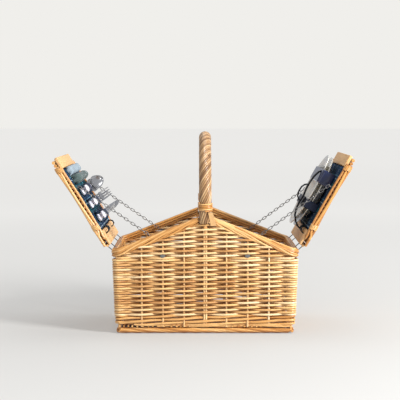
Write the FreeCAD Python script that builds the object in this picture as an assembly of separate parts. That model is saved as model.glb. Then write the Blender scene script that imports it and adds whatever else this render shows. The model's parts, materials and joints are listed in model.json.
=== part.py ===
"""A willow picnic basket with two lids, a fixed bow handle and fitted plates and cutlery.

Millimetres. +X is the right-hand end, -Y the front, +Z up.
The origin is the middle of the underside. Both lids are modelled standing open.
"""
import FreeCAD
import Part
import math
import os

Vector = FreeCAD.Vector
LEFT, RIGHT = -1, 1
FRONT, BACK = -1, 1

# Body: an upright box that widens a little towards its rim, with a gable over each side
base_half_length = 206.0
base_half_depth = 139.0
rim_level = 200.0
rim_half_length = 213.0
rim_half_depth = 144.0
wall_thickness = 7.0
foot_height = 15.0
foot_width = 9.0
base_level = 10.0
base_thickness = 7.0
ridge_height = 279.0
roof_slope = 20.5
end_rim_top = 197.0
corner_post_radius = 4.6

# Border rods, laid two wide and three deep
border_rod_radius = 3.7
border_rows = 3
border_end_inset = 2.0
border_handle_gap = 2.6

# Handle: a bow of one thick rod, roped over with thin ones
handle_top = 466.0
rope_radius = 14.5
bow_radius = 6.5
handle_plane = 142.5
bow_foot_level = 70.0
bow_tip_radius = 2.9
rope_foot_level = 258.0
bow_taper_end = 205.0
binding_foot_level = 284.0
binding_height = 23.0
binding_radius = 16.6
strap_thickness = 2.2
strap_head_depth = 157.2
strap_foot_depth = 148.05
strap_head = (6.5, 17.0, 283.8)
strap_foot = (12.5, 26.0, 252.0)

# Ridge bar under the meeting ends of the lids
ridge_bar_width = 16.0
ridge_bar_height = 12.0

# Lids: each turns on a rod outside the end rim
hinge_reach = 226.0
hinge_level = 204.5
lid_lean = {LEFT: 32.0, RIGHT: 29.5}
lid_half_depth = 141.0
lid_half_thickness = 9.0
lid_low_end = -6.0
rail_end = 214.0
lid_length = 235.0
rail_rod_radius = 3.9
hinge_batten_width = 42.0
top_batten_width = 29.0
top_batten_half_depth = 118.0
hinge_rod_radius = 3.0
hinge_loop_places = (-96.0, 96.0)
binding_places = (49.0, 205.0)
lining_half_depth = 121.0
lining_top = 9.0

# Chains between the lids and the long walls
chain_plane = 127.5
chain_eye_along_lid = 150.0
chain_eye_height = 17.0
chain_stud_reach = 104.0
chain_stud_level = 211.0
chain_bolt_reach = 97.7
chain_bolt_level = 182.0
link_count = 25
wall_side_links = 10
lid_side_links = 14
link_wire_radius = 0.75
link_bend_radius = 2.6
link_play = 0.3

# Cutlery and plates
handle_length = 98.0
handle_half_width = 8.0
handle_half_thickness = 5.2
stem_radius = 2.0
cutlery_front = -106.0
spoon_bowl_place = 72.0
spoon_bowl_size = (4.6, 27.0, 17.0)
fork_head = (36.0, 62.0)
fork_head_half_width = 11.0
fork_tine_end = 94.0
fork_tine_pitch = 6.0
knife_blade = (0.0, 98.0)
knife_half_width = 8.0
elastic_reach = (-84.0, -64.0)
elastic_top = 34.5
elastic_thickness = 1.2
cutlery_rows = {"spoons": 136.0, "forks": 100.0, "knives": 64.0}
cutlery_layers = (15.0, 26.5)
plate_radius = 94.0
plate_centre_along_lid = 119.0
plate_layers = (10.0, 21.0)
plate_depth = 16.0
band_thickness = 1.4
band_rise = 40.0
plate_band_place, plate_band_width, plate_band_reach = 160.0, 34.0, 93.0
plate_strap_place, plate_strap_width, plate_strap_reach = 88.0, 20.0, 97.5
buckle_place = ((-72.0, -50.0), (76.0, 100.0), (41.6, 44.6))
buckle_bar_width = 5.0


def half_length(level):
    """Half the outside length of the walls at a height."""
    return base_half_length + (rim_half_length - base_half_length) * level / rim_level


def half_depth(level):
    """Half the outside depth of the walls at a height."""
    return base_half_depth + (rim_half_depth - base_half_depth) * level / rim_level


def block(low, high):
    """A box between two opposite corners."""
    size = [b - a for a, b in zip(low, high)]
    return Part.makeBox(size[0], size[1], size[2], Vector(*low))


def rod(start, end, radius):
    """A round rod between two points."""
    start, end = Vector(*start), Vector(*end)
    return Part.makeCylinder(radius, (end - start).Length, start, end - start)


def prism(corners, sweep):
    """A flat outline carried straight along a sweep."""
    points = [Vector(*corner) for corner in corners]
    face = Part.Face(Part.makePolygon(points + points[:1]))
    return face.extrude(Vector(*sweep))


def rounded(shape, radius):
    """The shape with every edge rounded."""
    return shape.makeFillet(radius, shape.Edges)


def joined(shapes):
    """Touching shapes made into one solid."""
    return shapes[0].multiFuse(shapes[1:]).removeSplitter()


def oval_ring(first, second, bend_radius, wire_radius, axis):
    """A closed wire loop round two centres, lying across the axis."""
    first, second, axis = Vector(*first), Vector(*second), Vector(*axis).normalize()
    along = (second - first).normalize()
    aside = axis.cross(along)
    pieces = []
    for centre, turn in ((first, 1), (second, -1)):
        start = centre + aside * (bend_radius * turn)
        disc = Part.Face(Part.Wire(Part.makeCircle(wire_radius, start, along)))
        pieces.append(disc.revolve(centre, axis, 180))
        pieces.append(disc.extrude((second - first) * turn))
    return joined(pieces)


def lid_point(side, along, across, inward):
    """A point of a lid: its distance from the hinge, its place across, its height off mid-plane."""
    lean = math.radians(lid_lean[side])
    x = side * (hinge_reach + along * math.sin(lean) - inward * math.cos(lean))
    z = hinge_level + along * math.cos(lean) + inward * math.sin(lean)
    return Vector(x, across, z)


def on_lid(shape, side):
    """Place a shape whose Z runs up the lid and whose X points out of its inner face."""
    if side == RIGHT:
        shape = shape.mirror(Vector(0, 0, 0), Vector(1, 0, 0))
    shape.rotate(Vector(0, 0, 0), Vector(0, 1, 0), side * lid_lean[side])
    shape.translate(Vector(side * hinge_reach, 0, hinge_level))
    return shape


def lid_block(side, along, across, inward, edge=0.0):
    """A box on a lid, from three (low, high) pairs, with its edges rounded."""
    low = (inward[0], across[0], along[0])
    high = (inward[1], across[1], along[1])
    shape = block(low, high)
    if edge:
        shape = rounded(shape, edge)
    return on_lid(shape, side)


def base_mat():
    """The woven bottom, held above the ground inside the foot border."""
    reach = base_half_length - foot_width - 0.2
    depth = base_half_depth - foot_width - 0.2
    return block((-reach, -depth, base_level), (reach, depth, base_level + base_thickness))


def foot_border():
    """The plaited foot that the basket stands on, four straight stretches."""
    reach, depth, width = base_half_length, base_half_depth, foot_width
    sides = []
    for side in (FRONT, BACK):
        low, high = sorted((side * depth, side * (depth - width)))
        sides.append(block((-reach, low, 0), (reach, high, foot_height)))
    for side in (LEFT, RIGHT):
        low, high = sorted((side * reach, side * (reach - width)))
        sides.append(block((low, width + 0.1 - depth, 0), (high, depth - width - 0.1, foot_height)))
    return Part.makeCompound([rounded(side, foot_width * 0.25) for side in sides])


def level_circle(y, z, radius):
    """A circle lying flat over the basket's cross plane."""
    return Part.Wire(Part.makeCircle(radius, Vector(0, y, z), Vector(0, 0, 1)))


def bow_leg(side, play=0.0):
    """The pointed end of the bow, let down into the weave of one long wall."""
    bend = side * (half_depth(bow_taper_end) - wall_thickness / 2)
    tip = side * (half_depth(bow_foot_level) - wall_thickness / 2)
    top_circle = level_circle(side * handle_plane, rope_foot_level, bow_radius + play)
    bend_circle = level_circle(bend, bow_taper_end, bow_tip_radius + play)
    tip_circle = level_circle(tip, bow_foot_level, bow_tip_radius + play)
    return [Part.makeLoft([top_circle, bend_circle], True), Part.makeLoft([bend_circle, tip_circle], True)]


def roof_height(x, below=0.0):
    """Height of the sloping rim over a place along the basket."""
    drop = below / math.cos(math.radians(roof_slope))
    return ridge_height - abs(x) * math.tan(math.radians(roof_slope)) - drop


def long_wall(side):
    """A front or back wall, five-sided, woven round the foot of the handle bow."""
    border_depth = 2 * border_rod_radius * border_rows + 0.2
    inset = 2 * corner_post_radius + 0.8
    low = foot_height + 0.2
    eave = rim_half_length - inset
    corners = []
    for x, z in ((-(half_length(low) - inset), low),
                 (half_length(low) - inset, low),
                 (eave, roof_height(eave, border_depth)),
                 (0, roof_height(0, border_depth)),
                 (-eave, roof_height(eave, border_depth))):
        corners.append((x, side * half_depth(z), z))
    wall = prism(corners, (0, -side * wall_thickness, 0))
    for stretch in bow_leg(side, 0.2):
        wall = wall.cut(stretch)
    return wall


def end_wall(side):
    """A left or right end wall between the corner posts."""
    border_depth = 2 * border_rod_radius * border_rows + 0.2
    inset = 2 * corner_post_radius + 0.8
    low, high = foot_height + 0.2, end_rim_top - border_depth
    corners = []
    for turn, z in ((-1, low), (1, low), (1, high), (-1, high)):
        corners.append((side * half_length(z), turn * (half_depth(z) - inset), z))
    return prism(corners, (-side * wall_thickness, 0, 0))


def corner_post(side, front):
    """The thick upright rod at one corner."""
    ends = []
    for level in (foot_height + 0.2, end_rim_top - 2 * border_rod_radius * border_rows - 0.2):
        x = side * (half_length(level) - corner_post_radius - 0.2)
        y = front * (half_depth(level) - corner_post_radius - 0.2)
        ends.append((x, y, level))
    return rod(ends[0], ends[1], corner_post_radius)


def sloping_rim(side, front):
    """Border rods from an end up to the handle, along one long wall."""
    slope = math.radians(roof_slope)
    reach = rim_half_length - border_end_inset
    near = rope_radius + border_handle_gap
    rods = []
    for row in range(border_rows):
        below = border_rod_radius * (1 + 2 * row)
        for column in (-1, 1):
            depth = rim_half_depth - wall_thickness / 2 + column * border_rod_radius
            shift = below * math.sin(slope)
            start = (side * near, front * depth, roof_height(near - shift, below))
            end = (side * reach, front * depth, roof_height(reach - shift, below))
            rods.append(rod(start, end, border_rod_radius - 0.05))
    return Part.makeCompound(rods)


def hinge_loop(side, place, wire_radius):
    """A wire loop that ties the lid's hinge rod to the outer rod of the end rim."""
    rim_x = side * (rim_half_length - wall_thickness / 2 + border_rod_radius)
    rim_z = end_rim_top - border_rod_radius
    pivot = (side * hinge_reach, place, hinge_level)
    return oval_ring((rim_x, place, rim_z), pivot, 5.2, wire_radius, (0, 1, 0))


def end_rim(side):
    """Border rods across one end, with room for the two hinge loops."""
    rods = []
    depth = rim_half_depth - wall_thickness / 2 - 2 * border_rod_radius - 0.3
    for row in range(border_rows):
        z = end_rim_top - border_rod_radius * (1 + 2 * row)
        for column in (-1, 1):
            x = side * (rim_half_length - wall_thickness / 2 + column * border_rod_radius)
            piece = rod((x, -depth, z), (x, depth, z), border_rod_radius - 0.05)
            for place in hinge_loop_places:
                piece = piece.cut(hinge_loop(side, place, 1.4))
            rods.append(piece)
    return Part.makeCompound(rods)


def hinge_loops():
    """All four hinge loops."""
    loops = [hinge_loop(side, place, 1.1) for side in (LEFT, RIGHT) for place in hinge_loop_places]
    return Part.makeCompound(loops)


def ridge_bar():
    """The bar between the two long walls that the lids meet over."""
    top = roof_height(ridge_bar_width / 2) - 0.5
    low = top - ridge_bar_height
    reach = half_depth(low) - wall_thickness - 7.8
    bar = rounded(block((-ridge_bar_width / 2, -reach, low), (ridge_bar_width / 2, reach, top)), 4.0)
    for side in (FRONT, BACK):
        y = side * handle_plane
        bar = bar.cut(rod((0, y, low - 1), (0, y, top + 1), rope_radius + 0.05))
    return bar


def bow(start_level, radius):
    """A round bar up one side, over a half circle and down the other side."""
    arch_level = handle_top - rope_radius - handle_plane
    disc = Part.Face(level_circle(-handle_plane, arch_level, radius))
    pieces = [disc.revolve(Vector(0, 0, arch_level), Vector(-1, 0, 0), 180)]
    for side in (FRONT, BACK):
        y = side * handle_plane
        pieces.append(rod((0, y, start_level), (0, y, arch_level), radius))
    return joined(pieces)


def handle_bow():
    """The single thick rod inside the handle, with its ends let down into both walls."""
    return joined([bow(rope_foot_level, bow_radius)] + bow_leg(FRONT) + bow_leg(BACK))


def handle_roping():
    """The twisted thin rods over the bow, from rim to rim."""
    return bow(rope_foot_level, rope_radius).cut(bow(rope_foot_level - 5, bow_radius + 0.05))


def handle_bindings():
    """The wound collars that close the roping at both rims."""
    collars = []
    for side in (FRONT, BACK):
        foot = (0, side * handle_plane, binding_foot_level)
        head = (0, side * handle_plane, binding_foot_level + binding_height)
        collar = rod(foot, head, binding_radius)
        collars.append(collar.cut(rod(foot, head, rope_radius + 0.05)))
    return Part.makeCompound(collars)


def handle_straps():
    """A flat split-willow strap from each handle foot down over the border."""
    straps = []
    for side in (FRONT, BACK):
        corners = []
        for (near, far, level), depth in ((strap_head, strap_head_depth), (strap_foot, strap_foot_depth)):
            ends = (near, far) if level == strap_head[2] else (far, near)
            corners.extend((x, side * depth, level) for x in ends)
        strap = prism(corners, (0, side * strap_thickness, 0))
        y = side * handle_plane
        roping = rod((0, y, rope_foot_level - 20), (0, y, ridge_height + 20), rope_radius + 0.05)
        straps.append(strap.cut(roping))
    return Part.makeCompound(straps)


def chain_bolts():
    """Bolts through the long walls, with a domed head outside and a washer."""
    bolts = []
    for front in (FRONT, BACK):
        for side in (LEFT, RIGHT):
            x, z = side * chain_bolt_reach, chain_bolt_level
            outside = half_depth(z) * front
            axis = Vector(0, front, 0)
            washer = Part.makeCylinder(6.0, 1.2, Vector(x, outside + front * 0.2, z), axis)
            head = Part.makeCylinder(4.0, 3.0, Vector(x, outside + front * 1.4, z), axis)
            bolts.append(joined([washer, head]))
    return Part.makeCompound(bolts)


def chain_hangers():
    """Steel strips up the inside of the long walls, each with a stud that a chain hangs on."""
    hangers = []
    for front in (FRONT, BACK):
        for side in (LEFT, RIGHT):
            inside = half_depth(chain_bolt_level) - wall_thickness - 0.4
            stud = (side * chain_stud_reach, front * (chain_plane - 4.0), chain_stud_level)
            root = (side * chain_stud_reach, front * inside, chain_stud_level)
            corners = [(side * (chain_bolt_reach - 4), front * inside, chain_bolt_level - 5),
                       (side * (chain_bolt_reach + 4), front * inside, chain_bolt_level - 5),
                       (side * (chain_stud_reach + 4), front * inside, chain_stud_level + 4),
                       (side * (chain_stud_reach - 4), front * inside, chain_stud_level + 4)]
            strip = prism(corners, (0, -front * 1.6, 0))
            knob = rod(stud, (stud[0], front * (chain_plane - 5.6), stud[2]), 2.6)
            hangers.append(joined([strip, rod(root, stud, 0.9), knob]))
    return Part.makeCompound(hangers)


def chain_ends(side):
    """Where one chain hangs on its wall stud and on its lid eye, in the plane of the front."""
    stud = Vector(side * chain_stud_reach, 0, chain_stud_level)
    eye = lid_point(side, chain_eye_along_lid, 0, chain_eye_height)
    return stud, eye


def chain_links(side, front, first, count):
    """A run of links, counted from the wall stud."""
    stud, eye = chain_ends(side)
    stud.y = eye.y = front * chain_plane
    along = (eye - stud).normalize()
    flat = Vector(0, 1, 0)
    upright = flat.cross(along)
    end_span = 2 * link_bend_radius
    # The straight part of a link, s, and the pitch, s + 2 bends - wire - play, fill the length.
    pitch_surplus = end_span - 2 * link_wire_radius - link_play
    length = (eye - stud).Length
    straight = (length - (link_count - 1) * pitch_surplus) / link_count
    pitch = straight + pitch_surplus
    links = []
    for number in range(first, first + count):
        start = stud + along * (number * pitch)
        end = start + along * straight
        axis = flat if number % 2 == 0 else upright
        links.append(oval_ring(start, end, link_bend_radius, link_wire_radius, axis))
    return Part.makeCompound(links)


def lid_rails(side):
    """Two thick rods along each long edge of a lid."""
    rods = []
    for front in (FRONT, BACK):
        for layer in (-1, 1):
            depth = front * (lid_half_depth - rail_rod_radius)
            x = layer * (rail_rod_radius + 0.05)
            rods.append(on_lid(rod((x, depth, lid_low_end + 1), (x, depth, rail_end), rail_rod_radius), side))
    return Part.makeCompound(rods)


def lid_bindings(side):
    """Wound collars that tie the rails to the lid, two on each edge."""
    collars = []
    inner = lid_half_depth - 2 * rail_rod_radius
    for front in (FRONT, BACK):
        for place in binding_places:
            low, high = sorted((front * (inner - 0.9), front * (lid_half_depth + 0.9)))
            outside = block((-lid_half_thickness, low, place - 6), (lid_half_thickness, high, place + 6))
            low, high = sorted((front * (inner - 0.1), front * (lid_half_depth + 0.1)))
            skin = lid_half_thickness - 1
            hollow = block((-skin, low, place - 7), (skin, high, place + 7))
            collars.append(on_lid(outside.cut(hollow), side))
    return Part.makeCompound(collars)


def hinge_batten(side):
    """The wide border at the hinge end, slotted where the wire loops pass."""
    depth = lid_half_depth - 2 * rail_rod_radius - 1.0
    low = (-lid_half_thickness, -depth, lid_low_end)
    high = (lid_half_thickness, depth, lid_low_end + hinge_batten_width)
    batten = rounded(block(low, high), 3.5)
    for place in hinge_loop_places:
        batten = batten.cut(block((-20, place - 3, lid_low_end - 1), (20, place + 3, 15)))
    batten = batten.cut(rod((0, -depth - 1, 0), (0, depth + 1, 0), hinge_rod_radius + 0.05))
    return on_lid(batten, side)


def hinge_rod(side):
    """The rod that a lid turns on."""
    depth = lid_half_depth - 2 * rail_rod_radius - 2.0
    return on_lid(rod((0, -depth, 0), (0, depth, 0), hinge_rod_radius), side)


def top_batten(side):
    """The border at the free end, narrow enough to close between the handle's legs."""
    start = lid_length - top_batten_width
    return lid_block(side, (start, lid_length), (-top_batten_half_depth, top_batten_half_depth),
                     (-lid_half_thickness, lid_half_thickness), 3.5)


def lid_panel(side):
    """The woven field of a lid."""
    depth = lid_half_depth - 2 * rail_rod_radius - 1.0
    low = lid_low_end + hinge_batten_width + 0.2
    high = lid_length - top_batten_width - 0.2
    return lid_block(side, (low, high), (-depth, depth), (-5.0, 3.0))


def lid_lining(side):
    """The padded cloth over the inside of the panel."""
    low = lid_low_end + hinge_batten_width + 1.0
    high = lid_length - top_batten_width - 1.0
    return lid_block(side, (low, high), (-lining_half_depth, lining_half_depth), (3.2, lining_top), 2.0)


def lid_chain_eyes(side):
    """Wire staples on a lid's inner face that hold its chains."""
    eyes = []
    for front in (FRONT, BACK):
        feet = []
        for shift in (-4.6, 4.6):
            y = front * chain_plane + shift
            feet.append(rod((3.2, y, chain_eye_along_lid), (chain_eye_height, y, chain_eye_along_lid), 0.8))
        bar = rod((chain_eye_height, front * chain_plane - 5.5, chain_eye_along_lid),
                  (chain_eye_height, front * chain_plane + 5.5, chain_eye_along_lid), 0.9)
        eyes.append(on_lid(joined([bar] + feet), side))
    return Part.makeCompound(eyes)


def cutlery_handle(along, inward):
    """An oval moulded handle lying across the lid."""
    grip = Part.makeSphere(1.0)
    stretch = FreeCAD.Matrix()
    stretch.scale(handle_half_thickness, handle_length / 2, handle_half_width)
    grip = grip.transformGeometry(stretch)
    grip.translate(Vector(inward, cutlery_front + handle_length / 2, along))
    return grip


def cutlery_stem(along, inward, head_start):
    """The steel neck between a handle and its head."""
    start = cutlery_front + handle_length - 6
    return rod((inward, start, along), (inward, head_start, along), stem_radius)


def spoon(along, inward):
    """A dessert spoon, bowl to the back."""
    bowl = Part.makeSphere(1.0)
    stretch = FreeCAD.Matrix()
    stretch.scale(*spoon_bowl_size)
    bowl = bowl.transformGeometry(stretch)
    bowl.translate(Vector(inward, spoon_bowl_place, along))
    bowl = bowl.cut(block((inward, 40, along - 20), (inward + 10, 104, along + 20)))
    return joined([cutlery_handle(along, inward), cutlery_stem(along, inward - 1.8, 50.0), bowl])


def fork(along, inward):
    """A table fork with four tines."""
    start, end = fork_head
    head = rounded(block((inward - 1.2, start, along - fork_head_half_width),
                         (inward + 1.2, end, along + fork_head_half_width)), 0.5)
    pieces = [cutlery_handle(along, inward), cutlery_stem(along, inward, start + 4), head]
    for number in range(4):
        z = along + fork_tine_pitch * (number - 1.5)
        pieces.append(block((inward - 1.1, end - 2, z - 1.5), (inward + 1.1, fork_tine_end, z + 1.5)))
    return joined(pieces)


def knife(along, inward):
    """A table knife."""
    start, end = knife_blade
    blade = rounded(block((inward - 0.9, start, along - knife_half_width),
                          (inward + 0.9, end, along + knife_half_width)), 0.6)
    return joined([cutlery_handle(along, inward), cutlery_stem(along, inward, start + 4), blade])


def cutlery(kind):
    """Two of one kind, the second lying on the first."""
    makers = {"spoons": spoon, "forks": fork, "knives": knife}
    pieces = []
    for number, layer in enumerate(cutlery_layers):
        pieces.append(on_lid(makers[kind](cutlery_rows[kind] + 1.5 * number, layer), LEFT))
    return Part.makeCompound(pieces)


def cutlery_elastics():
    """Elastic loops over the cutlery handles, sewn to the lining."""
    loops = []
    low, high = elastic_reach
    for along in cutlery_rows.values():
        foot, head = along - 12, along + 13.5
        outside = rounded(block((lining_top - 0.2, low, foot), (elastic_top, high, head)), 3.0)
        hollow = rounded(block((lining_top + 0.8, low - 4, foot + elastic_thickness),
                               (elastic_top - elastic_thickness, high + 4, head - elastic_thickness)), 2.5)
        outside = outside.cut(block((0, low - 1, foot - 8), (lining_top + 0.1, high + 1, head + 8)))
        loops.append(on_lid(outside.cut(hollow), LEFT))
    return Part.makeCompound(loops)


def napkin_pouch():
    """A soft rolled pouch held above the cutlery."""
    return lid_block(LEFT, (158.0, 180.0), (-92.0, 60.0), (lining_top + 0.4, 33.0), 8.0)


def lid_pocket():
    """A folded cloth pocket at the top of the left lid."""
    return lid_block(LEFT, (182.0, 203.0), (-88.0, 88.0), (lining_top + 0.4, 22.0), 5.0)


def plate(layer):
    """A shallow round plate, its rim towards the basket."""
    outline = [(0, 0), (58, 0), (76, plate_depth - 5), (plate_radius, plate_depth),
               (plate_radius, plate_depth + 2), (74, plate_depth - 2.8), (56.5, 2.6), (0, 2.6)]
    points = [Vector(height, radius, 0) for radius, height in outline]
    face = Part.Face(Part.makePolygon(points + points[:1]))
    dish = face.revolve(Vector(0, 0, 0), Vector(1, 0, 0), 360)
    dish.translate(Vector(layer, 0, plate_centre_along_lid))
    return on_lid(dish, RIGHT)


def strap_over_plates(along, width, reach):
    """A flat strap stretched over the plates and down to the lining on both sides."""
    outside = block((lining_top + 0.1, -reach, along - width / 2),
                    (band_rise + band_thickness, reach, along + width / 2))
    hollow = block((lining_top - 5, band_thickness - reach, along - width),
                   (band_rise, reach - band_thickness, along + width))
    return on_lid(outside.cut(hollow), RIGHT)


def strap_buckle():
    """The buckle on the lower plate strap."""
    across, along, inward = buckle_place
    outside = block((inward[0], across[0], along[0]), (inward[1], across[1], along[1]))
    window = block((inward[0] - 1, across[0] + buckle_bar_width, along[0] + buckle_bar_width),
                   (inward[1] + 1, across[1] - buckle_bar_width, along[1] - buckle_bar_width))
    return on_lid(outside.cut(window), RIGHT)


def export(name, shape):
    """Write one sub-part."""
    solids = shape.Solids
    for solid in solids:
        if not solid.isValid() or solid.Volume <= 0:
            raise ValueError(name + " holds a bad solid")
    shape.exportStep("parts/" + name + ".step")
    print(name, len(solids), "solid(s)", round(shape.Volume / 1000, 2), "cm3")


def main():
    """Build and write every sub-part."""
    os.makedirs("parts", exist_ok=True)
    names = {LEFT: "left", RIGHT: "right"}
    fronts = {FRONT: "front", BACK: "back"}

    export("base_mat", base_mat())
    export("foot_border", foot_border())
    for front, front_name in fronts.items():
        export(front_name + "_wall", long_wall(front))
        for side, name in names.items():
            export("corner_post_" + front_name + "_" + name, corner_post(side, front))
            export(front_name + "_rim_" + name, sloping_rim(side, front))
    for side, name in names.items():
        export(name + "_end_wall", end_wall(side))
        export(name + "_end_rim", end_rim(side))
    export("ridge_bar", ridge_bar())
    export("hinge_loops", hinge_loops())
    export("handle_bow", handle_bow())
    export("handle_roping", handle_roping())
    export("handle_bindings", handle_bindings())
    export("handle_straps", handle_straps())
    export("chain_bolts", chain_bolts())
    export("chain_hangers", chain_hangers())

    for side, name in names.items():
        export(name + "_lid_rails", lid_rails(side))
        export(name + "_lid_bindings", lid_bindings(side))
        export(name + "_lid_hinge_batten", hinge_batten(side))
        export(name + "_lid_hinge_rod", hinge_rod(side))
        export(name + "_lid_top_batten", top_batten(side))
        export(name + "_lid_panel", lid_panel(side))
        export(name + "_lid_lining", lid_lining(side))
        export(name + "_lid_chain_eyes", lid_chain_eyes(side))
        for front, front_name in fronts.items():
            chain = "chain_" + front_name + "_" + name
            export(chain + "_wall_part", chain_links(side, front, 0, wall_side_links))
            first = link_count - lid_side_links
            export(chain + "_lid_part", chain_links(side, front, first, lid_side_links))

    for kind in cutlery_rows:
        export(kind, cutlery(kind))
    export("cutlery_elastics", cutlery_elastics())
    export("napkin_pouch", napkin_pouch())
    export("lid_pocket", lid_pocket())
    for number, layer in enumerate(plate_layers):
        export("plate_" + str(number + 1), plate(layer))
    export("plate_band", strap_over_plates(plate_band_place, plate_band_width, plate_band_reach))
    export("plate_strap", strap_over_plates(plate_strap_place, plate_strap_width, plate_strap_reach))
    export("strap_buckle", strap_buckle())


main()
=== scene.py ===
# %% [markdown]
# # A willow picnic basket
#
# This lesson dresses a measured frame of a double-lidded picnic basket: a woven body, a roped handle,
# and two lined lids that hold cutlery and plates. The frame gives every size and place. Blender adds
# what a maker's hands add: the rods, the weave, the cloth, the glaze and the polish.

# %% Load the frame
import bpy
import bmesh
import json
import math
import random
import numpy as np
from mathutils import Matrix, Vector


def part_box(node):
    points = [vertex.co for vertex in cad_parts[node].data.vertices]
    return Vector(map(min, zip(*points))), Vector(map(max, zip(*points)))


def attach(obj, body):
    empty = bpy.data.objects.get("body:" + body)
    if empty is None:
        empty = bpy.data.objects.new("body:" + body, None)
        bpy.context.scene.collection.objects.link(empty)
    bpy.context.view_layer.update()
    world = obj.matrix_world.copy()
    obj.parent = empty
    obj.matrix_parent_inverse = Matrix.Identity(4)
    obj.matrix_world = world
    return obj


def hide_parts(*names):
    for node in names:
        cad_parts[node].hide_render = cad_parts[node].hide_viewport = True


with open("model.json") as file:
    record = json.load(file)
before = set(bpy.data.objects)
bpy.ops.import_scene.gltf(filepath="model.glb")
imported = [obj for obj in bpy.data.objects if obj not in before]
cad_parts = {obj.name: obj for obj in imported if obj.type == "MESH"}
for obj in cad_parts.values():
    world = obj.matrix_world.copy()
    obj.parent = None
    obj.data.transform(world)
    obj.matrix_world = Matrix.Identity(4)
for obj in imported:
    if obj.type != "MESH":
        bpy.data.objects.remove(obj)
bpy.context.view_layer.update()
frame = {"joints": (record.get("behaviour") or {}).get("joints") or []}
MM = 0.001
LEFT, RIGHT = -1, 1
FRONT, BACK = -1, 1
SIDES = {"left": LEFT, "right": RIGHT}
FRONTS = {"front": FRONT, "back": BACK}
random.seed(7)

# %% [markdown]
# ## Where things are
#
# The hinges come from the frame's joints and the outer sizes of the walls, rim and handle from its boxes,
# so that the willow lands on the frame. How far a rod's middle lies inside a box is half its thickness,
# and the spacing of stakes, rows and fittings is given here in millimetres.

# %% Places taken from the frame
joint_place = {joint["name"]: Vector(joint["pos_m"]) for joint in frame["joints"]}


def box_size(node):
    """Lowest and highest corner of a frame node."""
    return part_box(node)


rim_low, rim_high = box_size("front_rim_right")
end_rim_high = box_size("right_end_rim")[1]
foot_high = box_size("foot_border")[1]
rope_low, rope_high = box_size("handle_roping")
WALL = 7 * MM
BORDER_HALF = 7.4 * MM
ROPE_HALF = 14.5 * MM
FOOT_REACH, FOOT_DEPTH = foot_high.x, foot_high.y
RIM_REACH = end_rim_high.x - BORDER_HALF
RIM_DEPTH = -rim_low.y - BORDER_HALF
RIM_LEVEL = end_rim_high.z
# The two slopes would meet a little above the highest border rod, under the handle's foot.
RIDGE_LEVEL = rim_high.z + 6 * MM
SLOPE = math.atan2(RIDGE_LEVEL - RIM_LEVEL, RIM_REACH)
HANDLE_PLANE = (rope_high.y - rope_low.y) / 2 - ROPE_HALF
HANDLE_TOP = rope_high.z
ROPE_FOOT = rope_low.z
print("rim reach", round(RIM_REACH, 4), "rim depth", round(RIM_DEPTH, 4))
print("slope", round(math.degrees(SLOPE), 2))


def half_reach(z):
    """Half the length of the walls' middle surface at a height."""
    return FOOT_REACH - WALL / 2 + (RIM_REACH - FOOT_REACH + WALL / 2) * z / RIM_LEVEL


def half_depth(z):
    """Half the depth of the walls' middle surface at a height."""
    return FOOT_DEPTH - WALL / 2 + (RIM_DEPTH - FOOT_DEPTH + WALL / 2) * z / RIM_LEVEL


def roof(x):
    """Height of the top of the sloping border."""
    return RIDGE_LEVEL - abs(x) * math.tan(SLOPE)


# %% [markdown]
# ## Willow, varnished
#
# Buff willow is boiled with its bark on, which turns it honey brown, then stripped and varnished. Every
# rod differs a little, each has long streaks, small dark knots and a gloss that is stronger on the
# crowns. The rods carry two values from the tree that makes them: `tone`, a number for each stretch of
# rod, and `grain`, the place round and along it, so the streaks follow a rod wherever it bends.

# %% Material helpers


def new_material(name):
    """A node material with its shader, ready for more nodes."""
    material = bpy.data.materials.new(name)
    material.use_nodes = True
    nodes = material.node_tree.nodes
    return material, nodes, material.node_tree.links, nodes["Principled BSDF"]


def ramp(nodes, stops):
    """A colour ramp from (place, colour) stops."""
    node = nodes.new("ShaderNodeValToRGB")
    elements = node.color_ramp.elements
    while len(elements) < len(stops):
        elements.new(0.5)
    for element, (place, colour) in zip(elements, stops):
        element.position = place
        element.color = (*colour, 1.0)
    return node


def noise(nodes, links, vector, scale, detail=3.0, roughness=0.55):
    """A noise texture read at a vector."""
    node = nodes.new("ShaderNodeTexNoise")
    node.inputs["Scale"].default_value = scale
    node.inputs["Detail"].default_value = detail
    node.inputs["Roughness"].default_value = roughness
    links.new(vector, node.inputs["Vector"])
    return node


def mix_colour(nodes, links, factor, first, second, mode="MIX"):
    """Two colours mixed by a factor, which may be a number or a socket."""
    node = nodes.new("ShaderNodeMix")
    node.data_type = "RGBA"
    node.blend_type = mode
    if isinstance(factor, float):
        node.inputs["Factor"].default_value = factor
    else:
        links.new(factor, node.inputs["Factor"])
    for socket, value in ((node.inputs[6], first), (node.inputs[7], second)):
        if isinstance(value, tuple):
            socket.default_value = (*value, 1.0)
        else:
            links.new(value, socket)
    return node.outputs[2]


def bump(nodes, links, height, strength, distance, shader):
    """A bump from a height socket into a shader."""
    node = nodes.new("ShaderNodeBump")
    node.inputs["Strength"].default_value = strength
    node.inputs["Distance"].default_value = distance
    links.new(height, node.inputs["Height"])
    links.new(node.outputs["Normal"], shader.inputs["Normal"])
    return node


# %% [markdown]
# One recipe makes every shade of willow: a dark, a middle and a light colour, how glossy the varnish is,
# and how much painted shade, taken from ambient occlusion, darkens it in crevices. The rope's rods are greyer
# from handling. The stakes are paler than the weavers that pass them, partly their own paler willow and
# partly painted light that lifts them out of the shade they sit in.

# %% The willow finish


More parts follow.
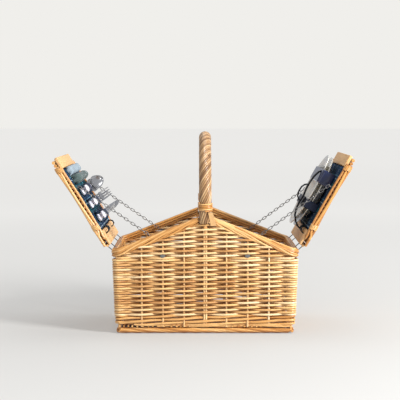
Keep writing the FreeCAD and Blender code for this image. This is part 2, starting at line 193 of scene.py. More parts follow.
def willow_material(name, dark, middle, light, gloss, crevices=1.0):
    """Varnished willow rods, streaked along each rod and different from rod to rod."""
    material, nodes, links, shader = new_material(name)
    tone = nodes.new("ShaderNodeAttribute")
    tone.attribute_name = "tone"
    grain = nodes.new("ShaderNodeAttribute")
    grain.attribute_name = "grain"
    place = nodes.new("ShaderNodeTexCoord")
    streaks = noise(nodes, links, grain.outputs["Vector"], 2.2, 4.0, 0.6)
    patches = noise(nodes, links, place.outputs["Object"], 38.0, 2.0)
    add = nodes.new("ShaderNodeMath")
    add.operation = "MULTIPLY_ADD"
    links.new(streaks.outputs["Fac"], add.inputs[0])
    add.inputs[1].default_value = 0.55
    links.new(tone.outputs["Fac"], add.inputs[2])
    more = nodes.new("ShaderNodeMath")
    more.operation = "MULTIPLY_ADD"
    links.new(patches.outputs["Fac"], more.inputs[0])
    more.inputs[1].default_value = 0.35
    links.new(add.outputs[0], more.inputs[2])
    spread = nodes.new("ShaderNodeMapRange")
    spread.inputs["From Min"].default_value = 0.25
    spread.inputs["From Max"].default_value = 1.65
    links.new(more.outputs[0], spread.inputs["Value"])
    colours = ramp(nodes, [(0.0, dark), (0.45, middle), (1.0, light)])
    links.new(spread.outputs["Result"], colours.inputs["Fac"])
    knots = noise(nodes, links, grain.outputs["Vector"], 0.9, 1.0, 0.4)
    knot_mask = ramp(nodes, [(0.70, (0, 0, 0)), (0.78, (1, 1, 1))])
    links.new(knots.outputs["Fac"], knot_mask.inputs["Fac"])
    knot_dark = tuple(0.45 * part for part in dark)
    surface = mix_colour(nodes, links, knot_mask.outputs["Color"], colours.outputs["Color"], knot_dark)
    # Painted shade: ambient occlusion darkens the base colour towards a deep brown in crevices and between
    # rods, scaled by the crevices argument.
    crevice = nodes.new("ShaderNodeAmbientOcclusion")
    crevice.samples = 6
    crevice.inputs["Distance"].default_value = 0.012
    painted_crevice_shade = ramp(nodes, [(0.15, (0.16, 0.055, 0.015)), (0.45, (0.62, 0.42, 0.26)), (0.85, (1, 1, 1))])
    links.new(crevice.outputs["AO"], painted_crevice_shade.inputs["Fac"])
    final = mix_colour(nodes, links, crevices, surface, painted_crevice_shade.outputs["Color"], "MULTIPLY")
    links.new(final, shader.inputs["Base Color"])
    rough = nodes.new("ShaderNodeMapRange")
    rough.inputs["To Min"].default_value = gloss - 0.08
    rough.inputs["To Max"].default_value = gloss + 0.16
    links.new(streaks.outputs["Fac"], rough.inputs["Value"])
    links.new(rough.outputs["Result"], shader.inputs["Roughness"])
    shader.inputs["Coat Weight"].default_value = 0.35
    shader.inputs["Coat Roughness"].default_value = 0.28
    bump(nodes, links, streaks.outputs["Fac"], 0.35, 0.0006, shader)
    return material


HONEY = willow_material("willow_honey", (0.31, 0.105, 0.016), (0.69, 0.33, 0.085), (0.91, 0.59, 0.25), 0.34)
PALE = willow_material("willow_pale", (0.45, 0.20, 0.05), (0.80, 0.47, 0.17), (0.95, 0.70, 0.36), 0.34)
BROWN = willow_material("willow_brown", (0.13, 0.045, 0.010), (0.30, 0.125, 0.032), (0.52, 0.27, 0.085), 0.45)
STRAW = willow_material("willow_straw", (0.50, 0.21, 0.055), (0.88, 0.54, 0.21), (1.0, 0.83, 0.52), 0.30)
# Partly painted light: the stakes get paler colours and less painted crevice shade, partly their own paler
# willow and partly lightening so that stakes lying in shade behind the weavers still read bright.
STAKE = willow_material("willow_stake", (0.66, 0.36, 0.13), (0.92, 0.62, 0.30), (1.0, 0.84, 0.54), 0.34, 0.45)
ROPE = willow_material("willow_rope", (0.16, 0.070, 0.022), (0.44, 0.25, 0.11), (0.74, 0.50, 0.26), 0.30)
print("willow finishes", [m.name for m in (HONEY, PALE, BROWN, STRAW, STAKE, ROPE)])

# %% [markdown]
# ## A tree that turns guide lines into rods
#
# A basket is hundreds of bent rods. Modelling each by hand would be slow and stiff. Here the guide
# lines are plain edges that say only where a rod runs, and a Geometry Nodes tree does the rest: it
# swings the line in and out by the `wave` value, lets it wander a little, gives it a girth that differs
# from rod to rod, skins it, and writes the values that the willow finish reads.

# %% Guide lines


def guide_object(name, strands):
    """An object of plain edges. Each strand is (points, outward, wave, girth), one row per point."""
    points, edges, outward, wave, girth = [], [], [], [], []
    for strand_points, strand_out, strand_wave, strand_girth in strands:
        first = len(points)
        points.extend(strand_points)
        outward.extend(strand_out)
        wave.extend(strand_wave)
        girth.extend(strand_girth)
        edges.extend((first + n, first + n + 1) for n in range(len(strand_points) - 1))
    mesh = bpy.data.meshes.new(name)
    mesh.from_pydata([tuple(p) for p in points], edges, [])
    mesh.attributes.new("out", "FLOAT_VECTOR", "POINT").data.foreach_set(
        "vector", np.array([tuple(o) for o in outward], np.float32).ravel())
    mesh.attributes.new("wave", "FLOAT", "POINT").data.foreach_set("value", np.array(wave, np.float32))
    mesh.attributes.new("girth", "FLOAT", "POINT").data.foreach_set("value", np.array(girth, np.float32))
    guide = bpy.data.objects.new(name, mesh)
    bpy.context.scene.collection.objects.link(guide)
    return guide


def plain_strand(points, girth=1.0):
    """A strand that follows its points with no swing."""
    count = len(points)
    return points, [(0, 0, 1)] * count, [0.0] * count, [girth] * count


# %% [markdown]
# The tree is built once and every rod on the basket goes through it. Each input that a piece can change,
# such as girth or swing, is a socket of the tree, so a strand differs from its neighbour by its guide
# values and a piece differs from the next by its settings.

# %% The rod tree


class Tree:
    """A small helper that adds nodes to a Geometry Nodes tree and links them."""

    def __init__(self, name, inputs):
        self.group = bpy.data.node_groups.new(name, "GeometryNodeTree")
        face = self.group.interface
        face.new_socket("Geometry", in_out="INPUT", socket_type="NodeSocketGeometry")
        self.keys = {}
        for label, kind, default in inputs:
            socket = face.new_socket(label, in_out="INPUT", socket_type="NodeSocket" + kind)
            if default is not None:
                socket.default_value = default
            self.keys[label] = socket.identifier
        face.new_socket("Geometry", in_out="OUTPUT", socket_type="NodeSocketGeometry")
        self.entry = self.group.nodes.new("NodeGroupInput")
        self.exit = self.group.nodes.new("NodeGroupOutput")

    def add(self, kind, values=(), **settings):
        """A node with its settings, and its inputs set by index or name from numbers or sockets."""
        node = self.group.nodes.new(kind)
        for key, value in settings.items():
            setattr(node, key, value)
        for key, value in dict(values).items():
            if isinstance(value, bpy.types.NodeSocket):
                self.group.links.new(value, node.inputs[key])
            else:
                node.inputs[key].default_value = value
        return node

    def given(self, label):
        """The socket of a named input."""
        return self.entry.outputs[label]

    def math(self, operation, first, second=0.0):
        """One sum."""
        return self.add("ShaderNodeMath", {0: first, 1: second}, operation=operation).outputs[0]

    def attribute(self, name, kind="FLOAT"):
        """A named attribute of the guide."""
        node = self.add("GeometryNodeInputNamedAttribute", {"Name": name}, data_type=kind)
        return node.outputs["Attribute"]


def rod_tree():
    """Guide edges in, skinned rods out."""
    tree = Tree("rods_from_guides", [
        ("Radius", "Float", 0.0023), ("Swing", "Float", 0.0), ("Wander", "Float", 0.0004),
        ("Variation", "Float", 0.12), ("Sides", "Int", 8), ("Seed", "Int", 1),
        ("Rod length", "Float", 0.33), ("Finish", "Material", None)])
    curves = tree.add("GeometryNodeMeshToCurve", {"Mesh": tree.given("Geometry")}).outputs[0]
    swing = tree.math("MULTIPLY", tree.math("SINE", tree.attribute("wave")), tree.given("Swing"))
    out = tree.add("ShaderNodeVectorMath", {0: tree.attribute("out", "FLOAT_VECTOR"), "Scale": swing},
                   operation="SCALE").outputs[0]
    place = tree.add("GeometryNodeInputPosition").outputs[0]
    wobble = tree.add("ShaderNodeTexNoise", {"Vector": place, "Scale": 21.0, "Detail": 1.0}).outputs[1]
    centred = tree.add("ShaderNodeVectorMath", {0: wobble, 1: (0.5, 0.5, 0.5)},
                       operation="SUBTRACT").outputs[0]
    wander = tree.add("ShaderNodeVectorMath", {0: centred, "Scale": tree.given("Wander")},
                      operation="SCALE").outputs[0]
    shift = tree.add("ShaderNodeVectorMath", {0: out, 1: wander}, operation="ADD").outputs[0]
    moved = tree.add("GeometryNodeSetPosition", {"Geometry": curves, "Offset": shift}).outputs[0]
    number = tree.add("GeometryNodeCurveOfPoint").outputs["Curve Index"]
    along = tree.add("GeometryNodeSplineParameter").outputs["Length"]
    stretch = tree.math("FLOOR", tree.math("DIVIDE", along, tree.given("Rod length")))
    identity = tree.math("ADD", tree.math("MULTIPLY", number, 37.0), stretch)
    chance = tree.add("FunctionNodeRandomValue", {"ID": identity, "Seed": tree.given("Seed")},
                      data_type="FLOAT")
    second_seed = tree.math("ADD", tree.given("Seed"), 11.0)
    thickness = tree.add("FunctionNodeRandomValue", {"ID": number, "Seed": second_seed}, data_type="FLOAT")
    spread = tree.math("MULTIPLY", tree.math("SUBTRACT", thickness.outputs[1], 0.5), tree.given("Variation"))
    girth = tree.math("MULTIPLY", tree.attribute("girth"), tree.math("ADD", spread, 1.0))
    radius = tree.math("MULTIPLY", girth, tree.given("Radius"))
    kept = tree.add("GeometryNodeCaptureAttribute")
    kept.capture_items.new("FLOAT", "Along")
    kept.capture_items.new("FLOAT", "Tone")
    tree.group.links.new(moved, kept.inputs[0])
    tree.group.links.new(along, kept.inputs[1])
    tree.group.links.new(chance.outputs[1], kept.inputs[2])
    ring = tree.add("GeometryNodeCurvePrimitiveCircle", {"Resolution": tree.given("Sides"), "Radius": 1.0})
    around = tree.add("GeometryNodeCaptureAttribute")
    around.capture_items.new("VECTOR", "Around")
    tree.group.links.new(ring.outputs[0], around.inputs[0])
    tree.group.links.new(tree.add("GeometryNodeInputPosition").outputs[0], around.inputs[1])
    skin = tree.add("GeometryNodeCurveToMesh", {"Curve": kept.outputs[0], "Profile Curve": around.outputs[0],
                                                "Scale": radius, "Fill Caps": True}).outputs[0]
    streak = tree.math("MULTIPLY", kept.outputs[1], 26.0)
    parted = tree.add("ShaderNodeSeparateXYZ", {0: around.outputs[1]})
    apart = tree.math("MULTIPLY", kept.outputs[2], 53.0)
    grain = tree.add("ShaderNodeCombineXYZ", {0: tree.math("ADD", parted.outputs[0], apart),
                                              1: parted.outputs[1], 2: streak}).outputs[0]
    toned = tree.add("GeometryNodeStoreNamedAttribute",
                     {"Geometry": skin, "Name": "tone", "Value": kept.outputs[2]},
                     data_type="FLOAT", domain="POINT").outputs[0]
    grained = tree.add("GeometryNodeStoreNamedAttribute",
                       {"Geometry": toned, "Name": "grain", "Value": grain},
                       data_type="FLOAT_VECTOR", domain="POINT").outputs[0]
    smooth = tree.add("GeometryNodeSetShadeSmooth", {"Geometry": grained}).outputs[0]
    real = tree.add("GeometryNodeRealizeInstances", {"Geometry": smooth}).outputs[0]
    done = tree.add("GeometryNodeSetMaterial",
                    {"Geometry": real, "Material": tree.given("Finish")}).outputs[0]
    tree.group.links.new(done, tree.exit.inputs[0])
    return tree


ROD_TREE = rod_tree()


def rods(name, strands, finish, body, replaced=(), slot="willow_rod", **sizes):
    """Run the rod tree on guide strands and keep the result as one plain piece on a body."""
    guide = guide_object(name + "_guide", strands)
    modifier = guide.modifiers.new("rods", "NODES")
    modifier.node_group = ROD_TREE.group
    for label, value in sizes.items():
        modifier[ROD_TREE.keys[label.replace("_", " ")]] = value
    modifier[ROD_TREE.keys["Finish"]] = finish
    bpy.context.view_layer.update()
    shown = guide.evaluated_get(bpy.context.evaluated_depsgraph_get())
    mesh = bpy.data.meshes.new_from_object(shown)
    mesh.name = name
    piece = bpy.data.objects.new(name, mesh)
    bpy.context.scene.collection.objects.link(piece)
    guide_mesh = guide.data
    bpy.data.objects.remove(guide)
    bpy.data.meshes.remove(guide_mesh)
    for unused in ("out", "wave", "girth"):
        if unused in mesh.attributes:
            mesh.attributes.remove(mesh.attributes[unused])
    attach(piece, body)
    if replaced:
        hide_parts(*replaced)
    print(name, "strands", len(strands), "faces", len(mesh.polygons))
    return piece


# %% [markdown]
# ## The woven walls
#
# The long and short walls are randed: each weaver passes in front of one upright stake and behind the
# next, and the row above does the opposite. A weaver goes all the way round the basket and hugs the
# corner posts, and its ends lap at a back corner. The `wave` value counts stakes, half a turn for each,
# and the tree swings the rod outwards or inwards by it. A texture could fake this, but the weave's real
# gaps and shadows are what the eye reads.

# %% Stakes and rows
STAKE_PITCH = 49 * MM
LONG_STAKES = [n * STAKE_PITCH for n in range(-3, 4)]
END_PITCH = 54 * MM
END_STAKES = [(n - 1.5) * END_PITCH for n in range(4)]
ROW_PITCH = 5.5 * MM
WEAVER_RADIUS = 2.75 * MM
STAKE_RADIUS = 2.45 * MM
SWING = 4.7 * MM
POST_INSET = 4.6 * MM
CORNER_RADIUS = 7 * MM


def stake_count(place, stops):
    """How many stakes lie before a place, counted smoothly between them."""
    for number in range(len(stops) - 1):
        if place <= stops[number + 1]:
            return number + (place - stops[number]) / (stops[number + 1] - stops[number])
    return len(stops) - 1.0


def loop_points(z, step):
    """Points once round the walls at a height, with the way out and the stakes counted."""
    reach, depth = half_reach(z), half_depth(z)
    corner = CORNER_RADIUS
    long_stops = [-(reach - POST_INSET)] + LONG_STAKES + [reach - POST_INSET]
    end_stops = [-(depth - POST_INSET)] + END_STAKES + [depth - POST_INSET]
    result = []
    counted = 0.0
    for quarter in (2, 3, 0, 1):
        length, across, stops = ((reach, depth, long_stops), (depth, reach, end_stops))[quarter % 2]
        turn = Matrix.Rotation(quarter * math.pi / 2, 3, "Z")
        steps = max(2, int((2 * (length - corner)) / step))
        for n in range(steps):
            u = -(length - corner) + 2 * (length - corner) * n / steps
            spot = turn @ Vector((u, -across, 0))
            out = turn @ Vector((0, -1, 0))
            result.append((Vector((spot.x, spot.y, z)), out, counted + stake_count(u, stops)))
        for n in range(4):
            angle = (n + 0.5) / 4 * math.pi / 2
            centre = Vector((length - corner, -(across - corner), 0))
            way = Vector((math.sin(angle), -math.cos(angle), 0))
            spot = turn @ (centre + way * corner)
            result.append((Vector((spot.x, spot.y, z)), turn @ way, counted + len(stops) - 1.0))
        counted += len(stops) - 1.0
    # The row ends run past each other by a few points, as a maker laps a new rod over the last.
    return result + [(spot.copy(), out, count + counted) for spot, out, count in result[:3]]


def ring_strand(z, row, step, phase=math.pi, rise=-0.6 * MM):
    """One row round the walls at a height, rising and dipping a little from stake to stake."""
    looped = loop_points(z, step)
    points = [spot + Vector((0, 0, rise * math.cos(phase * (count + row) + math.pi / 2)))
              for spot, _, count in looped]
    outs = [out for _, out, _ in looped]
    reach, depth = half_reach(z), half_depth(z)
    waves = []
    for spot, _, count in looped:
        swing = math.sin(phase * (count + row) + math.pi / 2)
        # Every weaver is pulled round the outside of the thick corner posts.
        near = max(reach - abs(spot.x), depth - abs(spot.y))
        hold = min(1.0, max(0.0, (24 * MM - near) / (16 * MM)))
        waves.append(math.asin(swing * (1 - hold) + 0.97 * hold))
    return points, outs, waves, [1.0] * len(points)


WEAVE_LOW, WEAVE_HIGH = 45 * MM, RIM_LEVEL - 20 * MM
rows = [ring_strand(WEAVE_LOW + ROW_PITCH * n, n, 6 * MM)
        for n in range(int((WEAVE_HIGH - WEAVE_LOW) / ROW_PITCH) + 1)]
rods("wall_weave", rows, STRAW, "basket", ("front_wall", "back_wall", "left_end_wall", "right_end_wall"),
     slot="willow_weave", Radius=WEAVER_RADIUS, Swing=SWING, Wander=0.9 * MM, Seed=3, Sides=7)

# %% [markdown]
# Above the eaves a row can't go round an end, so it runs across one long wall only and gets shorter
# towards the handle. Its ends stop swinging, which tucks them in behind the border.

# %% Gable rows


def gable_rows(front):
    """Rows across one long wall, between the eaves and the sloping border."""
    strands = []
    start = WEAVE_LOW + ROW_PITCH * len(rows)
    number = len(rows)
    z = start
    while z < RIDGE_LEVEL - 11 * MM:
        limit = min((RIDGE_LEVEL - 9 * MM - z) / math.tan(SLOPE), half_reach(z) - 4 * MM)
        if limit < 12 * MM:
            break
        count = max(6, int(2 * limit / (6 * MM)))
        lift = min(1.0, (z - start) / (60 * MM))
        points, waves = [], []
        for n in range(count + 1):
            x = -limit + 2 * limit * n / count
            sag = lift * 5 * MM * (x / limit) ** 2
            wave = math.pi * (stake_count(x, [-0.204] + LONG_STAKES + [0.204]) + number) + math.pi / 2
            points.append(Vector((x, front * half_depth(z), z - sag - 0.6 * MM * math.cos(wave))))
            waves.append(wave)
        if front == BACK:
            waves = [w + math.pi for w in waves]
        # The row ends are tucked in behind the border.
        waves = [math.asin(math.sin(w) * min(1.0, (limit - abs(spot.x)) / (14 * MM)) * 0.999)
                 for w, spot in zip(waves, points)]
        strands.append((points, [(0, front, 0)] * len(points), waves, [1.0] * len(points)))
        z += ROW_PITCH
        number += 1
    return strands


rods("gable_weave", gable_rows(FRONT) + gable_rows(BACK), STRAW, "basket", slot="willow_weave",
     Radius=WEAVER_RADIUS, Swing=SWING, Wander=1.1 * MM, Seed=5, Sides=7)

# %% [markdown]
# The stakes are the uprights that the weavers are worked on. They are set a little outwards in the wall,
# so that a pale upright shows wherever the weaver goes behind it. The corner posts are thicker and sit
# inside the corner, where the rows turn round them.

# %% Stakes and corner posts


def stake_strands():
    """Upright stakes, doubled in the middle of the long walls beside the handle's point."""
    strands = []
    for front in (FRONT, BACK):
        for x in LONG_STAKES:
            spots = (x,) if abs(x) > 1 * MM else (x - 2.4 * MM, x + 2.4 * MM)
            for spot in spots:
                top = roof(spot) - 14 * MM
                levels = np.linspace(16 * MM, top, 9)
                strands.append(plain_strand([Vector((spot, front * (half_depth(z) + 0.8 * MM), z))
                                             for z in levels]))
    for side in (LEFT, RIGHT):
        for y in END_STAKES:
            levels = np.linspace(16 * MM, RIM_LEVEL - 12 * MM, 7)
            strands.append(plain_strand([Vector((side * (half_reach(z) + 0.8 * MM), y, z)) for z in levels]))
    return strands


rods("stakes", stake_strands(), STAKE, "basket", slot="willow_weave", Radius=STAKE_RADIUS,
     Wander=0.6 * MM, Seed=8)


def post_strands():
    """The four thick corner posts."""
    strands = []
    for side in (LEFT, RIGHT):
        for front in (FRONT, BACK):
            levels = np.linspace(4 * MM, RIM_LEVEL - 8 * MM, 9)
            strands.append(plain_strand([
                Vector((side * (half_reach(z) - POST_INSET), front * (half_depth(z) - POST_INSET), z))
                for z in levels]))
    return strands


rods("corner_posts", post_strands(), PALE, "basket",
     tuple("corner_post_%s_%s" % (f, s) for f in FRONTS for s in SIDES),
     Radius=3.1 * MM, Wander=0.3 * MM, Seed=9, Sides=12)

# %% [markdown]
# ## Waling and the foot border
#
# Under the randing thicker rods are worked in four rows with a longer stroke than the randing's, which
# locks the foot of the wall, and two more rods run below them along most of each long wall. Then the
# ends of the base sticks show as pale pegs between dark gaps, and a border of long slanting rods forms
# the foot that the basket stands on.

# %% Waling, base sticks and foot
WALE_RADIUS = 3.1 * MM
wales = []
for n in range(4):
    wales.append(ring_strand(24 * MM + n * 5.4 * MM, n, 6 * MM, phase=2 * math.pi / 3, rise=-2.2 * MM))
for front in (FRONT, BACK):
    for level, start in ((18.2, -0.112), (21.5, -0.165)):
        xs = np.linspace(start, half_reach(0) - 4 * MM, 60) * -front
        points = [Vector((x, front * half_depth(0), level * MM + 0.9 * MM * math.sin(x * 60))) for x in xs]
        waves = [2 * math.pi / 3 * x / STAKE_PITCH + 1.0 for x in xs]
        wales.append((points, [(0, front, 0)] * 60, waves, [0.95] * 60))
rods("waling", wales, HONEY, "basket", slot="willow_weave", Radius=WALE_RADIUS, Swing=3.0 * MM,
     Wander=1.2 * MM, Seed=12, Sides=8)


def foot_run(side, reach, depth, along_x):
    """A straight run of the foot: its length, and a function from distance to place and way out."""
    if along_x:
        return 2 * reach, lambda d: (Vector((-reach + d, side * depth, 0)), Vector((0, side, 0)))
    return 2 * depth, lambda d: (Vector((side * reach, -depth + d, 0)), Vector((side, 0, 0)))


def foot_strands():
    """Long rods that slant down and outwards, each tucked under the next."""
    strands = []
    reach, depth = FOOT_REACH - 5 * MM, FOOT_DEPTH - 5 * MM
    for along_x in (True, False):
        for side in (-1, 1):
            length, place = foot_run(side, reach, depth, along_x)
            step = 27 * MM
            count = int(length / step)
            for n in range(-3, count):
                first = n * step
                points, girths = [], []
                for k in range(15):
                    t = k / 14
                    d = first + t * 4.2 * step
                    if d < 0 or d > length:
                        continue
                    spot, out = place(d)
                    drop = 11.9 * MM - 8.5 * MM * min(1.0, max(0.0, (t - 0.1) / 0.75))
                    swell = 2.2 * MM * math.sin(math.pi * t) - 0.4 * MM
                    points.append(spot + out * swell + Vector((0, 0, drop)))
                    girths.append(0.6 + 0.4 * math.sin(math.pi * t))
                if len(points) > 3:
                    strands.append((points, [(0, 0, 1)] * len(points), [0.0] * len(points), girths))
    return strands


rods("foot_border_rods", foot_strands(), HONEY, "basket", ("foot_border",), Radius=3.3 * MM,
     Wander=0.5 * MM, Seed=14, Sides=8)


def base_stick_strands():
    """Ends of the base sticks, showing as pegs between the foot and the waling."""
    strands = []
    for front in (FRONT, BACK):
        x = -0.188
        while x < 0.190:
            length = 6 * MM + random.random() * 3 * MM
            y = front * (half_depth(18 * MM) + 1 * MM)
            strands.append(plain_strand([Vector((x, y - front * length * 3, 18 * MM)),
                                         Vector((x, y - front * length, 18 * MM)),
                                         Vector((x, y + front * 1.5 * MM, 17.5 * MM))]))
            x += 8.6 * MM + random.random() * 9 * MM
    return strands


rods("base_sticks", base_stick_strands(), HONEY, "basket", Radius=2.2 * MM, Wander=1.6 * MM, Seed=15,
     Sides=8)


def base_weave_strands():
    """The woven bottom: weavers along the basket over sticks across it."""
    strands = []
    reach, depth = half_reach(0) - 8 * MM, half_depth(0) - 8 * MM
    y = -depth
    row = 0
    while y < depth:
        count = 70
        xs = np.linspace(-reach, reach, count)
        points = [Vector((x, y, 14 * MM)) for x in xs]
        waves = [math.pi * (x / (27 * MM) + row) for x in xs]
        strands.append((points, [(0, 0, 1)] * count, waves, [1.0] * count))
        y += 5.6 * MM
        row += 1
    return strands


rods("base_weave", base_weave_strands(), BROWN, "basket", ("base_mat",), slot="willow_weave",
     Radius=2.4 * MM, Swing=2.2 * MM, Wander=0.6 * MM, Seed=17, Sides=5)

# %% [markdown]
# ## The border
#
# At the rim every stake is bent down and carried along the wall, out over the top and down the outside,
# then tucked behind a later stake. From outside that reads as long rods lying side by side that cross at
# a slight slant. One function walks the rim from one handle foot, round an end, to the other handle foot,
# so that rods bend round the corners as they do on the real basket.

# %% Border rods
HANDLE_GAP = 15 * MM
BORDER_CORNER = 12 * MM


def rim_walk(side):
    """Distance round one end's rim: a list of (place on the top line, way out)."""
    spots = []
    reach, depth = RIM_REACH, RIM_DEPTH
    inner = reach - BORDER_CORNER
    for n in range(41):
        x = HANDLE_GAP + (inner - HANDLE_GAP) * n / 40
        spots.append((Vector((side * x, -depth, roof(x))), Vector((0, -1, 0))))
    low = RIM_LEVEL + 0.5 * MM
    for n in range(1, 8):
        angle = n / 8 * math.pi / 2
        way = Vector((side * math.sin(angle), -math.cos(angle), 0))
        centre = Vector((side * inner, -(depth - BORDER_CORNER), 0))
        blend = n / 8
        z = roof(inner) * (1 - blend) + low * blend
        spots.append((Vector((centre.x, centre.y, z)) + way * BORDER_CORNER, way))
    for n in range(41):
        y = -(depth - BORDER_CORNER) + 2 * (depth - BORDER_CORNER) * n / 40
        spots.append((Vector((side * reach, y, low)), Vector((side, 0, 0))))
    for spot, way in reversed(spots[:48]):
        spots.append((Vector((spot.x, -spot.y, spot.z)), Vector((way.x, -way.y, 0))))
    distances = [0.0]
    for (a, _), (b, _) in zip(spots, spots[1:]):
        distances.append(distances[-1] + (b - a).length)
    return spots, distances


def walked(spots, distances, d):
    """The place and way out at a distance along the rim."""
    d = min(max(d, 0.0), distances[-1])
    n = min(int(np.searchsorted(distances, d, side="right")) - 1, len(spots) - 2)
    t = (d - distances[n]) / max(distances[n + 1] - distances[n], 1e-9)
    (a, way_a), (b, way_b) = spots[n], spots[n + 1]
    return a.lerp(b, t), way_a.lerp(way_b, t).normalized()


def eased(keys, t):
    """A smooth value between (place, value) keys."""
    for (a, first), (b, second) in zip(keys, keys[1:]):
        if t <= b:
            f = (t - a) / (b - a)
            f = f * f * (3 - 2 * f)
            return first + (second - first) * f
    return keys[-1][1]


def border_strands(side):
    """Border rods over one end: straight core rods, and rods that slant across them."""
    spots, distances = rim_walk(side)
    total = distances[-1]
    strands = []
    for out_shift, down, girth in ((-3.4, 3.2, 1.0), (1.2, 2.9, 1.05), (-3.5, 8.8, 0.95),
                                   (0.2, 8.5, 1.0), (-3.0, 14.5, 0.95)):
        points = []
        for n in range(int(total / (9 * MM)) + 1):
            spot, way = walked(spots, distances, n * 9 * MM)
            points.append(spot + way * out_shift * MM - Vector((0, 0, down * MM)))
        strands.append(plain_strand(points, girth))
    step = 31 * MM
    out_keys = [(0.0, -3.0), (0.07, 0.5), (0.16, 4.3), (0.5, 5.0), (0.86, 4.6), (0.95, 2.0), (1.0, -3.0)]
    down_keys = [(0.0, 12.0), (0.07, 5.0), (0.16, 3.6), (0.5, 8.0), (0.86, 17.0), (0.95, 18.5), (1.0, 18.0)]
    number = int(total / step) + 4
    for n in range(-4, number):
        first = n * step + random.uniform(-4, 4) * MM
        length = 5.2 * step
        points, girths = [], []
        for k in range(21):
            t = k / 20
            d = first + t * length
            if d < -2 * MM or d > total + 2 * MM:
                continue
            spot, way = walked(spots, distances, d)
            points.append(spot + way * eased(out_keys, t) * MM - Vector((0, 0, eased(down_keys, t) * MM)))
            girths.append(0.78 + 0.3 * math.sin(math.pi * min(1.0, t * 1.1)))
        if len(points) > 4:
            strands.append((points, [(0, 0, 1)] * len(points), [0.0] * len(points), girths))
    return strands


for name, side in SIDES.items():
    rods("%s_border" % name, border_strands(side), HONEY, "basket",
         ("front_rim_%s" % name, "back_rim_%s" % name, "%s_end_rim" % name),
         Radius=2.9 * MM, Wander=0.7 * MM, Seed=21 + side, Sides=8)

# %% [markdown]
# ## The roped handle
#
# A thick bow is pushed down into the weave at both sides, then thin rods are wound round it together
# like the strands of a rope, and a collar of fine willow is wound over their ends. Guides for the
# strands are helices round the bow's line: up one leg, over a half circle, down the other.

# %% Handle roping
ROPE_STRANDS = 15
STRAND_RADIUS = 2.45 * MM
ROPE_OUTER = (rope_high.x - rope_low.x) / 2
BOW_LEVEL = HANDLE_TOP - ROPE_OUTER - HANDLE_PLANE


def bow_line(d):
    """A place on the bow's centre line, the way along it and the way out from its plane's middle."""
    leg = BOW_LEVEL - ROPE_FOOT
    arc = math.pi * HANDLE_PLANE
    if d < leg:
        return Vector((0, -HANDLE_PLANE, ROPE_FOOT + d)), Vector((0, -1, 0))
    if d < leg + arc:
        angle = (d - leg) / HANDLE_PLANE
        way = Vector((0, -math.cos(angle), math.sin(angle)))
        return Vector((0, 0, BOW_LEVEL)) + way * HANDLE_PLANE, way
    return Vector((0, HANDLE_PLANE, BOW_LEVEL - (d - leg - arc))), Vector((0, 1, 0))


def bow_length():
    """Length of the roped stretch."""
    return 2 * (BOW_LEVEL - ROPE_FOOT) + math.pi * HANDLE_PLANE


def rope_strands():
    """Thin rods wound over the bow, steep near its feet and flatter over its crown."""
    strands = []
    total = bow_length()
    side_way = Vector((1, 0, 0))
    for number in range(ROPE_STRANDS):
        points = []
        steps = 150
        for n in range(steps + 1):
            d = total * n / steps
            centre, way = bow_line(d)
            middle = (d / total - 0.5) * 2
            twist = 21.0 * middle - 5.0 * middle ** 3
            angle = twist + 2 * math.pi * number / ROPE_STRANDS
            radius = ROPE_OUTER - STRAND_RADIUS
            points.append(centre + (side_way * math.sin(angle) + way * math.cos(angle)) * radius)
        strands.append(plain_strand(points))
    return strands


rods("handle_rope", rope_strands(), ROPE, "basket", ("handle_roping",), Radius=STRAND_RADIUS,
     Wander=0.5 * MM, Variation=0.1, Seed=31, Sides=8)


# %% [markdown]
# Fine willow is wound round each foot of the handle to hold the ends of the rope's rods. A winding is one
# rod along a close helix.

# %% Collars round the handle's feet


def coil(centre, radius, low, high, pitch, steps_per_turn=20):
    """A helix round an upright line."""
    turns = (high - low) / pitch
    count = int(turns * steps_per_turn)
    points = []
    for n in range(count + 1):
        angle = 2 * math.pi * n / steps_per_turn
        points.append(Vector((centre.x + radius * math.sin(angle), centre.y - radius * math.cos(angle),
                              low + (high - low) * n / count)))
    return points


collar_low, collar_high = box_size("handle_bindings")
collars = []
for front in (FRONT, BACK):
    collars.append(plain_strand(coil(Vector((0, front * HANDLE_PLANE, 0)), 15.3 * MM,
                                     collar_low.z + 2 * MM, collar_high.z - 2 * MM, 3.9 * MM)))
rods("handle_collars", collars, HONEY, "basket", ("handle_bindings",), Radius=2.0 * MM, Wander=0.3 * MM,
     Variation=0.0, Seed=33, Rod_length=0.07)

# %% [markdown]
# ## The lids
#
# Each lid is a woven panel between edge rods, which are bound together with fine wrapping near both
# ends. Places on a lid are given along it from its hinge, across it, and inwards from its middle plane,
# so that one function sets every piece of both lids at their own lean.

# %% Places on a lid
EYE_ALONG, EYE_INWARD = 150, 17
LID_LEAN = {}
for name, side in SIDES.items():
    hinge = joint_place["%s_lid_hinge" % name]
    eye = joint_place["front_%s_chain_lid_part_swing" % name] - hinge
    # The chain's eye stands up the lid and off its middle plane, in millimetres.
    LID_LEAN[side] = math.atan2(side * eye.x, eye.z) + math.atan2(EYE_INWARD, EYE_ALONG)
    print(name, "lid leans", round(math.degrees(LID_LEAN[side]), 2))


def lid_spot(side, along, across, inward):
    """A point of a lid in metres, from millimetres along, across and inward."""
    hinge = joint_place["left_lid_hinge" if side == LEFT else "right_lid_hinge"]
    lean = LID_LEAN[side]
    reach = along * math.sin(lean) - inward * math.cos(lean)
    rise = along * math.cos(lean) + inward * math.sin(lean)
    return Vector((hinge.x + side * reach * MM, across * MM, hinge.z + rise * MM))


def lid_inward(side):
    """The way out of a lid's inner face."""
    lean = LID_LEAN[side]
    return Vector((-side * math.cos(lean), 0, math.sin(lean)))


# %% [markdown]
# A lid's panel is randed like a wall, over nine stakes. Three rods run down each long edge, cross a little
# between their bindings, and run on over the hinge end, beside the cut ends of the cross rods.
# The cross rods at the hinge are parted where the wire loops pass.

# %% Woven panels and edge rods


